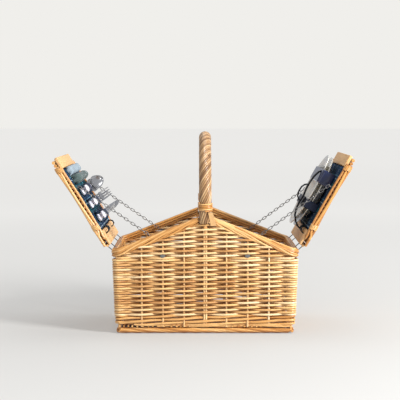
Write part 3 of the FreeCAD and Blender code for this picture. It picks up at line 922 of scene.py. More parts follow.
def lid_panel_strands(side):
    """Weavers across the lid over long stakes."""
    inward = lid_inward(side)
    weavers, stakes = [], []
    along, row = 39.0, 0
    while along < 204:
        across = np.linspace(-131, 131, 67)
        points = [lid_spot(side, along, y, -1.0) for y in across]
        waves = [math.pi * (y / 29.0 + row + 0.5) for y in across]
        weavers.append((points, [inward] * len(points), waves, [1.0] * len(points)))
        along += 5.3
        row += 1
    for number in range(-4, 5):
        stakes.append(plain_strand([lid_spot(side, s, number * 29.0, -1.0) for s in np.linspace(30, 212, 7)]))
    return weavers, stakes


def wrap_strand(side, front, along, turns=6):
    """A fine rod wound round the edge rods."""
    points = []
    count = turns * 18
    for n in range(count + 1):
        angle = 2 * math.pi * n / 18
        points.append(lid_spot(side, along - 6 + 12 * n / count, front * (136.2 + 5.2 * math.cos(angle)),
                               8.6 * math.sin(angle)))
    return plain_strand(points)


def edge_strands(side):
    """Three rods along each long edge, crossing a little, and run on over the hinge end."""
    strands = []
    for front in (FRONT, BACK):
        for number, inward in enumerate((-5.6, 0.2, 5.6)):
            points = []
            if number < 2:
                points += [lid_spot(side, s, front * 136.6, -4.9 + 0.2 * number)
                           for s in ((2, 12, 24), (20, 28))[number]]
            else:
                points += [lid_spot(side, s, front * 136.6, 4.2) for s in (20, 28)]
            for n in range(15):
                s = 38 + 176 * n / 14
                ease = math.sin(math.pi * min(1.0, max(0.0, (s - 49) / 156)))
                drift = (2.2, -2.6, 1.4)[number] * ease
                across = front * (136.6 + (0, 1.2, -0.6)[number] * ease)
                points.append(lid_spot(side, s, across, inward + drift))
            strands.append(plain_strand(points, (0.95, 1.0, 0.92)[number]))
    return strands


def hinge_end_strands(side):
    """Thick rods across the hinge end, cut where the wire loops pass."""
    strands = []
    for along in (19.8, 28.2):
        strands.append(plain_strand([lid_spot(side, along, y, -4.7) for y in np.linspace(-134, 134, 11)]))
    for along, inward in ((3.2, -5.2), (11.5, -4.7)):
        for start, end in ((-134, -100.5), (-91.5, 91.5), (100.5, 134)):
            spots = [lid_spot(side, along, y, inward) for y in np.linspace(start, end, 7)]
            strands.append(plain_strand(spots, 0.62 if along < 5 else 1.0))
    for front in (FRONT, BACK):
        for along in (23.5, 31.8):
            spots = [lid_spot(side, along, front * y, 4.2) for y in (110, 122, 134)]
            strands.append(plain_strand(spots, 0.95))
    return strands


def top_end_strands(side):
    """Thick rods across the free end."""
    return [plain_strand([lid_spot(side, s, y, -4.6) for y in np.linspace(-117.5, 117.5, 11)])
            for s in (210.6, 219.0, 227.4)]


for name, side in SIDES.items():
    body = name + "_lid"
    weavers, stakes = lid_panel_strands(side)
    rods(name + "_panel_weave", weavers, HONEY, body, (name + "_lid_panel",), slot="willow_weave",
         Radius=2.5 * MM, Swing=1.5 * MM, Wander=0.5 * MM, Seed=40 + side, Sides=7)
    rods(name + "_panel_stakes", stakes, PALE, body, slot="willow_weave", Radius=1.9 * MM, Wander=0.0,
         Seed=43)
    rods(name + "_edge_rods", edge_strands(side), HONEY, body, (name + "_lid_rails",), Radius=3.3 * MM,
         Wander=0.8 * MM, Seed=45 + side, Sides=10)
    wraps = [wrap_strand(side, front, along) for front in (FRONT, BACK) for along in (49, 205)]
    rods(name + "_edge_wraps", wraps, HONEY, body, (name + "_lid_bindings",), Radius=1.15 * MM,
         Wander=0.4 * MM, Variation=0.0, Seed=48 + side, Sides=7)
    rods(name + "_hinge_end_rods", hinge_end_strands(side), HONEY, body, (name + "_lid_hinge_batten",),
         Radius=4.1 * MM, Wander=0.4 * MM, Seed=51 + side, Sides=12)
    rods(name + "_top_end_rods", top_end_strands(side), HONEY, body, (name + "_lid_top_batten",),
         Radius=4.2 * MM, Wander=0.4 * MM, Seed=54 + side, Sides=12)

# %% [markdown]
# ## Smooth boards inside the lids
#
# Inside each lid a smooth pale board closes the hinge end and the free end, and the cloth is tucked
# under both. The hinge board is cut where the wire loops pass. They are plain planed wood, so a block
# with softly worn edges and a straight fine grain is all they need.

# %% Boards


def new_piece(name, mesh, material, body, replaced=(), smooth=True):
    """Keep a mesh as a finished piece on a body."""
    mesh.name = name
    mesh.materials.clear()
    mesh.materials.append(material)
    if smooth:
        mesh.polygons.foreach_set("use_smooth", [True] * len(mesh.polygons))
    piece = bpy.data.objects.new(name, mesh)
    bpy.context.scene.collection.objects.link(piece)
    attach(piece, body)
    if replaced:
        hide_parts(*replaced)
    print(name, "faces", len(mesh.polygons))
    return piece


def mesh_from(build):
    """A mesh from a bmesh that is closed, merged and facing outwards."""
    bmesh.ops.remove_doubles(build, verts=build.verts, dist=1e-6)
    bmesh.ops.recalc_face_normals(build, faces=build.faces)
    mesh = bpy.data.meshes.new("piece")
    build.to_mesh(mesh)
    build.free()
    return mesh


def rounded_block(build, low, high, edge, place):
    """Add a box with rounded edges, given in millimetres and put in place by a function."""
    made = bmesh.ops.create_cube(build, size=1.0)["verts"]
    middle = [(a + b) / 2 for a, b in zip(low, high)]
    size = [b - a for a, b in zip(low, high)]
    for vert in made:
        vert.co = Vector([m + s * c for m, s, c in zip(middle, size, vert.co)])
    edges = list({e for v in made for e in v.link_edges})
    result = bmesh.ops.bevel(build, geom=edges, offset=edge, segments=3, profile=0.5, affect="EDGES")
    verts = {v for f in result["faces"] for v in f.verts} | {v for v in made if v.is_valid}
    for vert in verts:
        vert.co = place(*vert.co)


def plank_material(name):
    """Pale wood with a fine straight grain across the lid."""
    material, nodes, links, shader = new_material(name)
    place = nodes.new("ShaderNodeTexCoord")
    stretch = nodes.new("ShaderNodeMapping")
    stretch.inputs["Scale"].default_value = (160.0, 7.0, 160.0)
    links.new(place.outputs["Object"], stretch.inputs["Vector"])
    grain = noise(nodes, links, stretch.outputs["Vector"], 3.0, 5.0, 0.6)
    colours = ramp(nodes, [(0.3, (0.66, 0.36, 0.14)), (0.55, (0.76, 0.46, 0.20)),
                           (0.75, (0.84, 0.55, 0.27))])
    links.new(grain.outputs["Fac"], colours.inputs["Fac"])
    links.new(colours.outputs["Color"], shader.inputs["Base Color"])
    shader.inputs["Roughness"].default_value = 0.5
    bump(nodes, links, grain.outputs["Fac"], 0.15, 0.0004, shader)
    return material


PLANK = plank_material("planed_wood")
for name, side in SIDES.items():
    build = bmesh.new()

    def place(along, across, inward, side=side):
        return lid_spot(side, along, across, inward)

    rounded_block(build, (15.6, -131.8, 0.5), (36.0, 131.8, 9.0), 1.6, place)
    for start, end in ((-131.8, -99.4), (-92.6, 92.6), (99.4, 131.8)):
        rounded_block(build, (-1.0, start, 4.0), (16.2, end, 9.0), 1.6, place)
    rounded_block(build, (206.0, -117.8, 0.4), (235.0, 117.8, 9.0), 2.4, place)
    new_piece(name + "_boards", mesh_from(build), PLANK, name + "_lid")
    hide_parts(name + "_lid_hinge_rod")

for name, side in SIDES.items():
    strand = [plain_strand([lid_spot(side, 0, y, 0) for y in np.linspace(-131, 131, 9)])]
    rods(name + "_hinge_rod", strand, HONEY, name + "_lid", Radius=2.9 * MM, Wander=0.0, Seed=58)

# %% [markdown]
# ## Tartan lining
#
# The lids are lined with cotton check over thin wadding, tucked under the boards, so the cloth is full
# in the middle and pulled down at its edges, with a few soft creases.

# %% Cloth materials


def stripes(nodes, links, value, period, stops):
    """Repeating bands of colour along a value in metres."""
    scaled = nodes.new("ShaderNodeMath")
    scaled.operation = "DIVIDE"
    links.new(value, scaled.inputs[0])
    scaled.inputs[1].default_value = period
    part = nodes.new("ShaderNodeMath")
    part.operation = "FRACT"
    links.new(scaled.outputs[0], part.inputs[0])
    node = ramp(nodes, stops)
    node.color_ramp.interpolation = "CONSTANT"
    links.new(part.outputs[0], node.inputs["Fac"])
    return node.outputs["Color"]


SETT_WIDTH = 64 * MM


def tartan_material():
    """Dark teal and navy check with thin pale lines."""
    material, nodes, links, shader = new_material("tartan_cloth")
    flat = nodes.new("ShaderNodeUVMap")
    flat.uv_map = "flat"
    parts = nodes.new("ShaderNodeSeparateXYZ")
    links.new(flat.outputs["UV"], parts.inputs[0])
    navy, teal, black = (0.012, 0.028, 0.075), (0.012, 0.095, 0.11), (0.006, 0.010, 0.012)
    pale, slate = (0.42, 0.55, 0.62), (0.10, 0.22, 0.32)
    sett = [(0.0, navy), (0.22, black), (0.30, teal), (0.46, black), (0.54, navy), (0.66, pale),
            (0.69, navy), (0.78, slate), (0.82, navy)]
    across = stripes(nodes, links, parts.outputs[0], SETT_WIDTH, sett)
    along = stripes(nodes, links, parts.outputs[1], SETT_WIDTH, sett)
    twill = nodes.new("ShaderNodeTexWave")
    twill.bands_direction = "DIAGONAL"
    twill.inputs["Scale"].default_value = 420.0
    links.new(flat.outputs["UV"], twill.inputs["Vector"])
    threads = ramp(nodes, [(0.42, (0, 0, 0)), (0.58, (1, 1, 1))])
    links.new(twill.outputs["Fac"], threads.inputs["Fac"])
    woven = mix_colour(nodes, links, threads.outputs["Color"], across, along)
    links.new(woven, shader.inputs["Base Color"])
    shader.inputs["Roughness"].default_value = 0.9
    shader.inputs["Specular IOR Level"].default_value = 0.15
    bump(nodes, links, twill.outputs["Fac"], 0.25, 0.0003, shader)
    return material


def plain_cloth(name, colour, roughness=0.85, weave=900.0, sheen=0.06, stripe=None):
    """Plain woven cloth, with optional stripes along its own flat coordinates."""
    material, nodes, links, shader = new_material(name)
    place = nodes.new("ShaderNodeTexCoord")
    fine = noise(nodes, links, place.outputs["Object"], weave, 1.0)
    soft = noise(nodes, links, place.outputs["Object"], 60.0, 2.0)
    shade = ramp(nodes, [(0.3, tuple(0.7 * c for c in colour)), (0.7, colour)])
    links.new(soft.outputs["Fac"], shade.inputs["Fac"])
    result = shade.outputs["Color"]
    if stripe:
        flat = nodes.new("ShaderNodeUVMap")
        flat.uv_map = "flat"
        parts = nodes.new("ShaderNodeSeparateXYZ")
        links.new(flat.outputs["UV"], parts.inputs[0])
        bands = stripes(nodes, links, parts.outputs[0], stripe[0], stripe[1])
        result = mix_colour(nodes, links, 0.75, result, bands)
    links.new(result, shader.inputs["Base Color"])
    shader.inputs["Roughness"].default_value = roughness
    shader.inputs["Sheen Weight"].default_value = sheen
    shader.inputs["Specular IOR Level"].default_value = 0.25
    bump(nodes, links, fine.outputs["Fac"], 0.2, 0.0003, shader)
    return material


TARTAN = tartan_material()
POUCH_STRIPES = [(0.0, (0.10, 0.14, 0.135)), (0.70, (0.01, 0.01, 0.012)), (0.80, (0.62, 0.66, 0.68)),
                 (0.88, (0.01, 0.01, 0.012))]
POUCH_CLOTH = plain_cloth("pouch_cloth", (0.085, 0.12, 0.115), stripe=(34 * MM, POUCH_STRIPES))
POCKET_CLOTH = plain_cloth("pocket_cloth", (0.34, 0.42, 0.48))
WEBBING = plain_cloth("dark_webbing", (0.018, 0.026, 0.06), roughness=0.45, weave=1400.0)
print("cloths", [m.name for m in (TARTAN, POUCH_CLOTH, POCKET_CLOTH, WEBBING)])

# %% [markdown]
# The linings, the striped napkin pouch and the pale pocket above it are one shape at different sizes: a
# grid that rises quickly from its edge to a full middle, with shallow creases. Its flat coordinates are
# kept as the cloth's own, so the check and the stripes stay straight on the cloth.

# %% Padded linings


def pillow(side, along, across, base, height, edge, creases, steps=(46, 64), seed=0):
    """A soft slab on a lid: full in the middle, drawn in at its edges, with creases. Millimetres."""
    rng = random.Random(seed)
    waves = [(rng.uniform(0.05, 0.16), rng.uniform(0.02, 0.10), rng.uniform(0, 6.28)) for _ in range(4)]
    rows, columns = steps
    build = bmesh.new()
    flat = build.loops.layers.uv.new("flat")
    low_s, high_s = along
    low_y, high_y = across
    grid = {}
    for i in range(rows + 1):
        for j in range(columns + 1):
            s = low_s + (high_s - low_s) * i / rows
            y = low_y + (high_y - low_y) * j / columns
            rim = min(s - low_s, high_s - s, (y - low_y), (high_y - y))
            fall = min(1.0, rim / edge)
            lift = (1 - (1 - fall) ** 2.4) ** 0.5
            ripple = sum(math.sin(a * s + b * y + c) for a, b, c in waves) / 4
            gather = 0.35 * math.sin(0.42 * (s + y * 0.3)) * max(0.0, 1 - rim / (2.2 * edge))
            h = base + (height - base) * lift + creases * (ripple * fall + gather)
            grid[i, j, 1] = (build.verts.new(lid_spot(side, s, y, max(h, base + 0.3 * (fall > 0)))), s, y)
            grid[i, j, 0] = (build.verts.new(lid_spot(side, s, y, base)), s, y)

    def face(keys):
        corners = [grid[k] for k in keys]
        try:
            made = build.faces.new([c[0] for c in corners])
        except ValueError:
            return
        for loop, corner in zip(made.loops, corners):
            loop[flat].uv = (corner[2] * MM, corner[1] * MM)

    for i in range(rows):
        for j in range(columns):
            for layer in (0, 1):
                face([(i, j, layer), (i + 1, j, layer), (i + 1, j + 1, layer), (i, j + 1, layer)])
    for i in range(rows):
        for j in (0, columns):
            face([(i, j, 0), (i + 1, j, 0), (i + 1, j, 1), (i, j, 1)])
    for j in range(columns):
        for i in (0, rows):
            face([(i, j, 0), (i, j + 1, 0), (i, j + 1, 1), (i, j, 1)])
    return mesh_from(build)


for name, side in SIDES.items():
    mesh = pillow(side, (35.5, 206.5), (-122, 122), 2.4, 8.6, 11.0, 0.9, seed=3 + side)
    cover = new_piece(name + "_lining", mesh, TARTAN, name + "_lid", (name + "_lid_lining",))

pouch_mesh = pillow(LEFT, (157, 181), (-93, 62), 9.0, 31.5, 10.5, 1.6, steps=(26, 70), seed=12)
pouch = new_piece("napkin_pouch_cloth", pouch_mesh, POUCH_CLOTH, "left_lid", ("napkin_pouch",))
pocket_mesh = pillow(LEFT, (182, 205), (-90, 90), 9.0, 20.0, 7.0, 1.5, steps=(24, 76), seed=17)
pocket = new_piece("lid_pocket_cloth", pocket_mesh, POCKET_CLOTH, "left_lid", ("lid_pocket",))

# %% [markdown]
# ## Cutlery
#
# Spoons, forks and knives lie across the left lid in three pairs, their pale moulded handles under
# elastic loops. A handle is a string of ovals skinned into one surface. A fork's and a knife's flat
# parts are outlines with a little thickness, and a spoon's bowl is a dished oval.

# %% Metal, moulded handles and glaze


def metal(name, colour, roughness, scale):
    """Brushed or polished steel."""
    material, nodes, links, shader = new_material(name)
    place = nodes.new("ShaderNodeTexCoord")
    marks = noise(nodes, links, place.outputs["Object"], scale, 2.0)
    shader.inputs["Base Color"].default_value = (*colour, 1)
    shader.inputs["Metallic"].default_value = 1.0
    spread = nodes.new("ShaderNodeMapRange")
    spread.inputs["To Min"].default_value = roughness - 0.06
    spread.inputs["To Max"].default_value = roughness + 0.10
    links.new(marks.outputs["Fac"], spread.inputs["Value"])
    links.new(spread.outputs["Result"], shader.inputs["Roughness"])
    return material


def glossy(name, colour, roughness=0.15, coat=0.5):
    """Smooth moulded plastic or glaze."""
    material, nodes, links, shader = new_material(name)
    place = nodes.new("ShaderNodeTexCoord")
    cloud = noise(nodes, links, place.outputs["Object"], 30.0, 2.0)
    shade = ramp(nodes, [(0.3, tuple(0.94 * c for c in colour)), (0.7, colour)])
    links.new(cloud.outputs["Fac"], shade.inputs["Fac"])
    links.new(shade.outputs["Color"], shader.inputs["Base Color"])
    shader.inputs["Roughness"].default_value = roughness
    shader.inputs["Coat Weight"].default_value = coat
    return material


POLISHED = metal("polished_steel", (0.56, 0.56, 0.57), 0.20, 90.0)
ZINC = metal("zinc_plate", (0.27, 0.265, 0.26), 0.36, 220.0)
DARK_WIRE = metal("dark_wire", (0.16, 0.16, 0.17), 0.42, 200.0)
MOULDED = glossy("moulded_handle", (0.72, 0.71, 0.80), 0.28, 0.3)
GLAZE = glossy("cream_glaze", (0.86, 0.83, 0.74), 0.12, 0.8)
print("hard finishes ready")

# %% Cutlery shapes


def skin(build, rings, place):
    """Skin rings of points (millimetres along, across, inward) into one closed surface."""
    loops = [[build.verts.new(place(*point)) for point in ring] for ring in rings]
    count = len(loops[0])
    for first, second in zip(loops, loops[1:]):
        for n in range(count):
            build.faces.new((first[n], first[(n + 1) % count], second[(n + 1) % count], second[n]))
    build.faces.new(loops[0])
    build.faces.new(list(reversed(loops[-1])))


def oval(along, across, inward, half_along, half_inward, count=16):
    """One oval section across the piece."""
    angles = [2 * math.pi * n / count for n in range(count)]
    return [(along + half_along * math.cos(a), across, inward + half_inward * math.sin(a)) for a in angles]


def handle_rings(along, inward):
    """A moulded handle, thickest near its rounded end."""
    rings = []
    for n in range(19):
        t = n / 18
        y = -106 + 98 * t
        end = min(1.0, math.sqrt(max(0.0, 1 - (1 - min(1.0, t / 0.09)) ** 2)) + 0.06)
        body = 1.0 - 0.48 * t
        tip = min(1.0, math.sqrt(max(0.0, 1 - max(0.0, (t - 0.94) / 0.06) ** 2)) + 0.35)
        rings.append(oval(along, y, inward, 9.6 * end * body * tip, 5.3 * end * (1 - 0.25 * t) * tip))
    return rings


def stem_rings(along, inward, start, end, radius=2.0):
    """The steel neck."""
    return [oval(along, start + (end - start) * n / 6, inward, radius * (1 - 0.15 * n / 6), radius * 0.8)
            for n in range(7)]


def spoon_rings(along, inward):
    """A dished bowl, its hollow towards the lid's inner side."""
    outer = []
    for n in range(15):
        t = n / 14
        y = 45 + 53 * t
        half = 17.0 * math.sqrt(max(0.002, 1 - (2 * t - 1) ** 2)) * (1 - 0.16 * (t - 0.5))
        depth = 6.0 * math.sqrt(max(0.002, 1 - (2 * t - 1) ** 2))
        ring = []
        for k in range(12):
            u = -1 + 2 * k / 11
            ring.append((along + half * u, y, inward - depth * (1 - u * u)))
        for k in range(12):
            u = 1 - 2 * k / 11
            ring.append((along + half * u * 0.97, y, inward + 0.9 - depth * (1 - u * u)))
        outer.append(ring)
    return outer


def plate_of(outline, inward, thickness):
    """A flat shape as two rings of an outline (along, across)."""
    return [[(a, b, inward - thickness / 2) for a, b in outline],
            [(a, b, inward + thickness / 2) for a, b in outline]]


def fork_outline(along):
    """A fork's head with four tines."""
    left = [(-2.2, 34), (-3.2, 40), (-8.5, 47), (-11.2, 53), (-11.2, 60)]
    points = list(left)
    for number in range(4):
        middle = -9.3 + 6.2 * number
        points += [(middle - 1.8, 64), (middle - 1.5, 90), (middle - 0.5, 96.5), (middle + 0.5, 96.5),
                   (middle + 1.5, 90), (middle + 1.8, 64)]
        if number < 3:
            points.append((middle + 3.1, 61.5))
    points += [(-a, b) for a, b in reversed(left)]
    return [(along + a, b) for a, b in points]


def knife_outline(along):
    """A knife's blade, straight on its back and curved at its point."""
    return [(along + a, b) for a, b in (
        (-3.5, -2), (-8.0, 6), (-8.6, 30), (-8.4, 60), (-7.2, 80), (-4.2, 94), (0.5, 101), (4.2, 101.5),
        (6.8, 96), (7.6, 60), (7.6, 20), (6.6, 4), (3.0, -3))]


def left_place(along, across, inward):
    """A place on the left lid. The heads curve up and away from it."""
    rise = 0.0062 * max(0.0, across - 34.0) ** 2
    return lid_spot(LEFT, along, across, inward + rise)


CUTLERY_ROWS = {"spoons": 136.0, "forks": 100.0, "knives": 64.0}
for kind, along in CUTLERY_ROWS.items():
    steel, grips = bmesh.new(), bmesh.new()
    for number, inward in enumerate((15.0, 26.5)):
        place_along = along + 1.5 * number
        skin(grips, handle_rings(place_along, inward), left_place)
        if kind == "spoons":
            skin(steel, stem_rings(place_along, inward - 0.5, -10, 48), left_place)
            skin(steel, spoon_rings(place_along, inward), left_place)
        elif kind == "forks":
            skin(steel, stem_rings(place_along, inward, -10, 37), left_place)
            skin(steel, plate_of(fork_outline(place_along), inward, 2.0), left_place)
        else:
            skin(steel, stem_rings(place_along, inward, -10, 4), left_place)
            skin(steel, plate_of(knife_outline(place_along), inward, 1.8), left_place)
    new_piece(kind + "_steel", mesh_from(steel), POLISHED, "left_lid", (kind,),
              smooth=kind == "spoons")
    new_piece(kind + "_handles", mesh_from(grips), MOULDED, "left_lid")

# %% [markdown]
# ## Plates
#
# Two shallow plates lie face out in the right lid under a wide band and a narrow strap. A plate is a
# thrown or pressed round, so its profile is spun once round. The band is pulled flat over both rims.

# %% Plates, band and strap


PLATE_ALONG = 119


def plate_mesh(layer):
    """A plate spun from its profile: a flat well, a rounded step and a broad rim."""
    profile = [(0.0, 0.0), (40, 0.0), (55, 0.1), (60, 0.9), (70, 7.0), (77, 11.0), (85, 13.6), (92.6, 15.6),
               (94.0, 16.8), (93.4, 18.0), (91.8, 18.2), (84, 16.0), (76, 13.4), (69, 9.4), (58.5, 3.2),
               (54, 2.5), (40, 2.4), (0.0, 2.4)]
    build = bmesh.new()
    turns = 96
    rings = []
    for turn in range(turns):
        angle = 2 * math.pi * turn / turns
        places = [(PLATE_ALONG + r * math.cos(angle), r * math.sin(angle), layer + h) for r, h in profile]
        rings.append([build.verts.new(lid_spot(RIGHT, *place)) for place in places])
    for first, second in zip(rings, rings[1:] + rings[:1]):
        for n in range(len(profile) - 1):
            corners = [first[n], first[n + 1], second[n + 1], second[n]]
            if n == 0:
                corners = [first[0], first[1], second[1]]
            elif n == len(profile) - 2:
                corners = [first[n], first[n + 1], second[n]]
            build.faces.new(corners)
    return mesh_from(build)


for number, layer in enumerate((10.0, 21.0)):
    new_piece("plate_%d_glazed" % (number + 1), plate_mesh(layer), GLAZE, "right_lid",
              ("plate_%d" % (number + 1),))


def ribbon(path, along, width, thickness):
    """A flat strap of a width that follows (across, inward) points."""
    smooth = []
    for n in range(len(path) - 1):
        for k in range(6):
            t = k / 6
            smooth.append(tuple(a + (b - a) * t for a, b in zip(path[n], path[n + 1])))
    smooth.append(path[-1])
    for _ in range(6):
        inner = [tuple((a + 2 * b + c) / 4 for a, b, c in zip(*three))
                 for three in zip(smooth, smooth[1:], smooth[2:])]
        smooth = [smooth[0]] + inner + [smooth[-1]]
    build = bmesh.new()
    rings = []
    for n, (y, h) in enumerate(smooth):
        before, after = smooth[max(0, n - 1)], smooth[min(len(smooth) - 1, n + 1)]
        run = Vector((after[0] - before[0], after[1] - before[1])).normalized()
        off = Vector((-run.y, run.x)) * thickness / 2
        ring = []
        for k in range(9):
            u = -1 + 2 * k / 8
            bow = 0.5 * (1 - u * u)
            ring.append((along + width / 2 * u, y + off.x * (1 + bow), h + off.y * (1 + bow)))
        for k in range(9):
            u = 1 - 2 * k / 8
            ring.append((along + width / 2 * u, y - off.x, h - off.y))
        rings.append(ring)
    skin(build, rings, lambda a, b, c: lid_spot(RIGHT, a, b, c))
    return mesh_from(build)


elastics = bmesh.new()
for along in CUTLERY_ROWS.values():
    rings = []
    for k in range(25):
        angle = math.pi * k / 24
        span, rise = math.cos(angle), max(0.0, math.sin(angle))
        span = math.copysign(abs(span) ** 0.6, span)
        outer = (along + 0.7 + 13.4 * span, 8.6 + 26.6 * rise ** 0.55)
        inner = (along + 0.7 + 11.7 * span, 8.6 + 24.9 * rise ** 0.55)
        ring = [(outer[0], y, outer[1] + 0.6 * math.sin(math.pi * (y + 86) / 24)) for y in range(-86, -61, 4)]
        ring += [(inner[0], y, inner[1]) for y in range(-62, -87, -4)]
        rings.append(ring)
    skin(elastics, rings, left_place)
new_piece("elastic_loops", mesh_from(elastics), WEBBING, "left_lid", ("cutlery_elastics",))
SATIN = glossy("satin_band", (0.012, 0.02, 0.075), 0.25, 0.4)


def both_ways(half):
    """A path across the lid from its middle outwards, mirrored to run from edge to edge."""
    return [(-y, h) for y, h in reversed(half)] + half[1:]


band_path = both_ways([(0, 41.0), (50, 41.0), (84, 41.0), (92.5, 36.5), (94, 22), (93, 9.0)])
new_piece("plate_band_satin", ribbon(band_path, 160, 34, 1.3), SATIN, "right_lid",
          ("plate_band",))
strap_path = both_ways([(0, 40.8), (50, 40.8), (86, 41.2), (95, 38), (97.5, 24), (96.5, 9.0)])
new_piece("plate_strap_webbing", ribbon(strap_path, 88, 20, 1.4), WEBBING, "right_lid",
          ("plate_strap",))

# %% [markdown]
# ## Long strap and tie loops
#
# A long strap runs from under the wide band down over the plates to the hinge board, with a keeper loop
# that stands up from its middle. Three short loops stand on each hinge board. All are thick webbing held
# at both ends, so each is a flat section carried along a few points, and rides on its lid.

# %% Strap, keeper and loops


def strap_mesh(points, width, thickness, side):
    """A strap that follows (along, across, inward) points, flat side across."""
    build = bmesh.new()
    rings = []
    for n, (along, across, inward) in enumerate(points):
        before, after = points[max(0, n - 1)], points[min(len(points) - 1, n + 1)]
        run = Vector((after[0] - before[0], after[2] - before[2])).normalized()
        off = Vector((-run.y, run.x)) * thickness / 2
        rings.append([(along + off.x, across - width / 2, inward + off.y),
                      (along + off.x, across + width / 2, inward + off.y),
                      (along - off.x, across + width / 2, inward - off.y),
                      (along - off.x, across - width / 2, inward - off.y)])
    skin(build, rings, lambda a, b, c: lid_spot(side, a, b, c))
    return mesh_from(build)


STRAP_DARK = plain_cloth("black_webbing", (0.012, 0.012, 0.014), roughness=0.5, weave=1400.0)
strap_line = [(172, -62, 40.5), (166, -64, 46), (152, -66, 50.5), (134, -67, 52.5), (116, -67, 52),
              (100, -66, 49.5), (84, -66, 50.5), (66, -66, 49.5), (50, -64, 44), (38, -62, 35), (30, -60, 24),
              (27, -60, 12)]
new_piece("plate_long_strap", strap_mesh(strap_line, 14, 3.4, RIGHT), STRAP_DARK, "right_lid")
keeper_line = [(128, -66, 55), (124, -67, 60), (116, -68, 64), (104, -68, 64.5), (92, -67, 61), (86, -66, 53)]
new_piece("strap_keeper_loop", strap_mesh(keeper_line, 10, 3.0, RIGHT), STRAP_DARK, "right_lid")
for name, side in SIDES.items():
    for number, across in enumerate((-98, -72, 64)):
        line = [(24, across, 8.5), (24.5, across + 2, 13), (28, across + 6, 18), (34, across + 11, 18),
                (39, across + 16, 13), (39, across + 19, 8.5)]
        new_piece("%s_lid_tie_%d" % (name, number + 1), strap_mesh(line, 9, 2.4, side), STRAP_DARK,
                  name + "_lid")

# %% [markdown]
# ## Chains and wire
#
# Four plated steel chains hold the lids open. The frame already has every link but one in each chain:
# the link where the frame's chain is parted. That link is bent here like its neighbours, an oval of
# wire, and it goes with the wall's part of the chain. It joins the two parts only while the lids stand
# open. As a lid shuts the parts swing away from each other.

# %% The missing links


LINKS = 25
PARTED_LINK = 10


def chain_link(stud, eye, number, count=LINKS, bend=2.6, wire=0.75, play=0.3):
    """One oval link of a chain between its two ends, in metres."""
    run = eye - stud
    surplus = (2 * bend - 2 * wire - play) * MM
    straight = (run.length - (count - 1) * surplus) / count
    way = run.normalized()
    flat = Vector((0, 1, 0)) if number % 2 == 0 else Vector((0, 1, 0)).cross(way)
    aside = flat.cross(way)
    start = stud + way * number * (straight + surplus)
    line = []
    for n in range(13):
        angle = math.pi * n / 12
        line.append(start + (aside * math.cos(angle) - way * math.sin(angle)) * bend * MM)
    for n in range(13):
        angle = math.pi * n / 12
        line.append(start + way * straight - (aside * math.cos(angle) - way * math.sin(angle)) * bend * MM)
    build = bmesh.new()
    rings = []
    for n, spot in enumerate(line):
        tangent = (line[(n + 1) % len(line)] - line[n - 1]).normalized()
        out = flat.cross(tangent)
        rings.append([build.verts.new(spot + (flat * math.cos(a) + out * math.sin(a)) * wire * MM)
                      for a in (2 * math.pi * k / 10 for k in range(10))])
    for first, second in zip(rings, rings[1:] + rings[:1]):
        for k in range(10):
            build.faces.new((first[k], first[(k + 1) % 10], second[(k + 1) % 10], second[k]))
    return mesh_from(build)


for front_name in FRONTS:
    for name in SIDES:
        chain = "%s_%s_chain" % (front_name, name)
        stud = joint_place[chain + "_wall_part_swing"]
        eye = joint_place[chain + "_lid_part_swing"]
        new_piece("joining_link_%s_%s" % (front_name, name), chain_link(stud, eye, PARTED_LINK), ZINC,
                  chain + "_wall_part")

# %% [markdown]
# ## Finishes for the frame's own pieces
#
# The chains, bolts, hangers, eyes, hinge loops and buckle are already right in the frame, so they only get
# a finish. The ridge bar and the straps at the handle's feet are plain peeled willow.

# %% Dress the frame's nodes
PEELED = plank_material("peeled_rod")


def dress(material, *nodes):
    """Give frame nodes a finish."""
    for node in nodes:
        part = bpy.data.objects[node]
        part.data.materials.clear()
        part.data.materials.append(material)


chains = ["chain_%s_%s_%s_part" % (f, s, p) for f in FRONTS for s in SIDES for p in ("wall", "lid")]
dress(ZINC, "chain_bolts", "chain_hangers", "left_lid_chain_eyes", "right_lid_chain_eyes", *chains)
dress(DARK_WIRE, "hinge_loops")
dress(STRAP_DARK, "strap_buckle")
dress(PEELED, "ridge_bar", "handle_straps")

# %% [markdown]
# The thick bow inside the roping is hidden for most of its length. Below the collars it narrows and is
# driven down between the doubled middle stakes, so the rod is made whole, with its own girth along it.

# %% The bow's pointed ends


def bow_strand():
    """The bow inside the roping, its ends pointed and let down into both walls."""
    points, girths = [], []
    total = bow_length()
    for z, girth in ((70, 0.30), (110, 0.34), (160, 0.38), (205, 0.40), (232, 0.42)):
        lean = half_depth(z * MM) + (HANDLE_PLANE - half_depth(z * MM)) * max(0.0, (z - 205) / 53)
        points.append(Vector((0, -lean, z * MM)))
        girths.append(girth)
    tail = [Vector((p.x, -p.y, p.z)) for p in reversed(points)]
    back = list(reversed(girths))
    for n in range(61):
        points.append(bow_line(total * n / 60)[0])
        girths.append(1.0)
    return [(points + tail, [(0, 0, 1)] * (len(points) + 5), [0.0] * (len(points) + 5), girths + back)]


rods("handle_bow_rod", bow_strand(), HONEY, "basket", ("handle_bow",), Radius=6.3 * MM, Wander=0.0, Seed=61,
     Sides=12)

# %% [markdown]
# ## Studio
#
# A pale floor, a bright even world and large soft lights give the calm light of a product shelf. The
# camera stands straight in front, a little above the handle, with a long lens.

# %% Floor, lights and camera


def area_light(name, place, aim, size, power):
    """A large soft light aimed at a point."""
    data = bpy.data.lights.new(name, "AREA")
    data.shape = "RECTANGLE"
    data.size, data.size_y = size
    data.energy = power
    lamp = bpy.data.objects.new(name, data)
    lamp.location = place
    lamp.rotation_euler = (Vector(aim) - Vector(place)).to_track_quat("-Z", "Y").to_euler()
    bpy.context.scene.collection.objects.link(lamp)
    return lamp


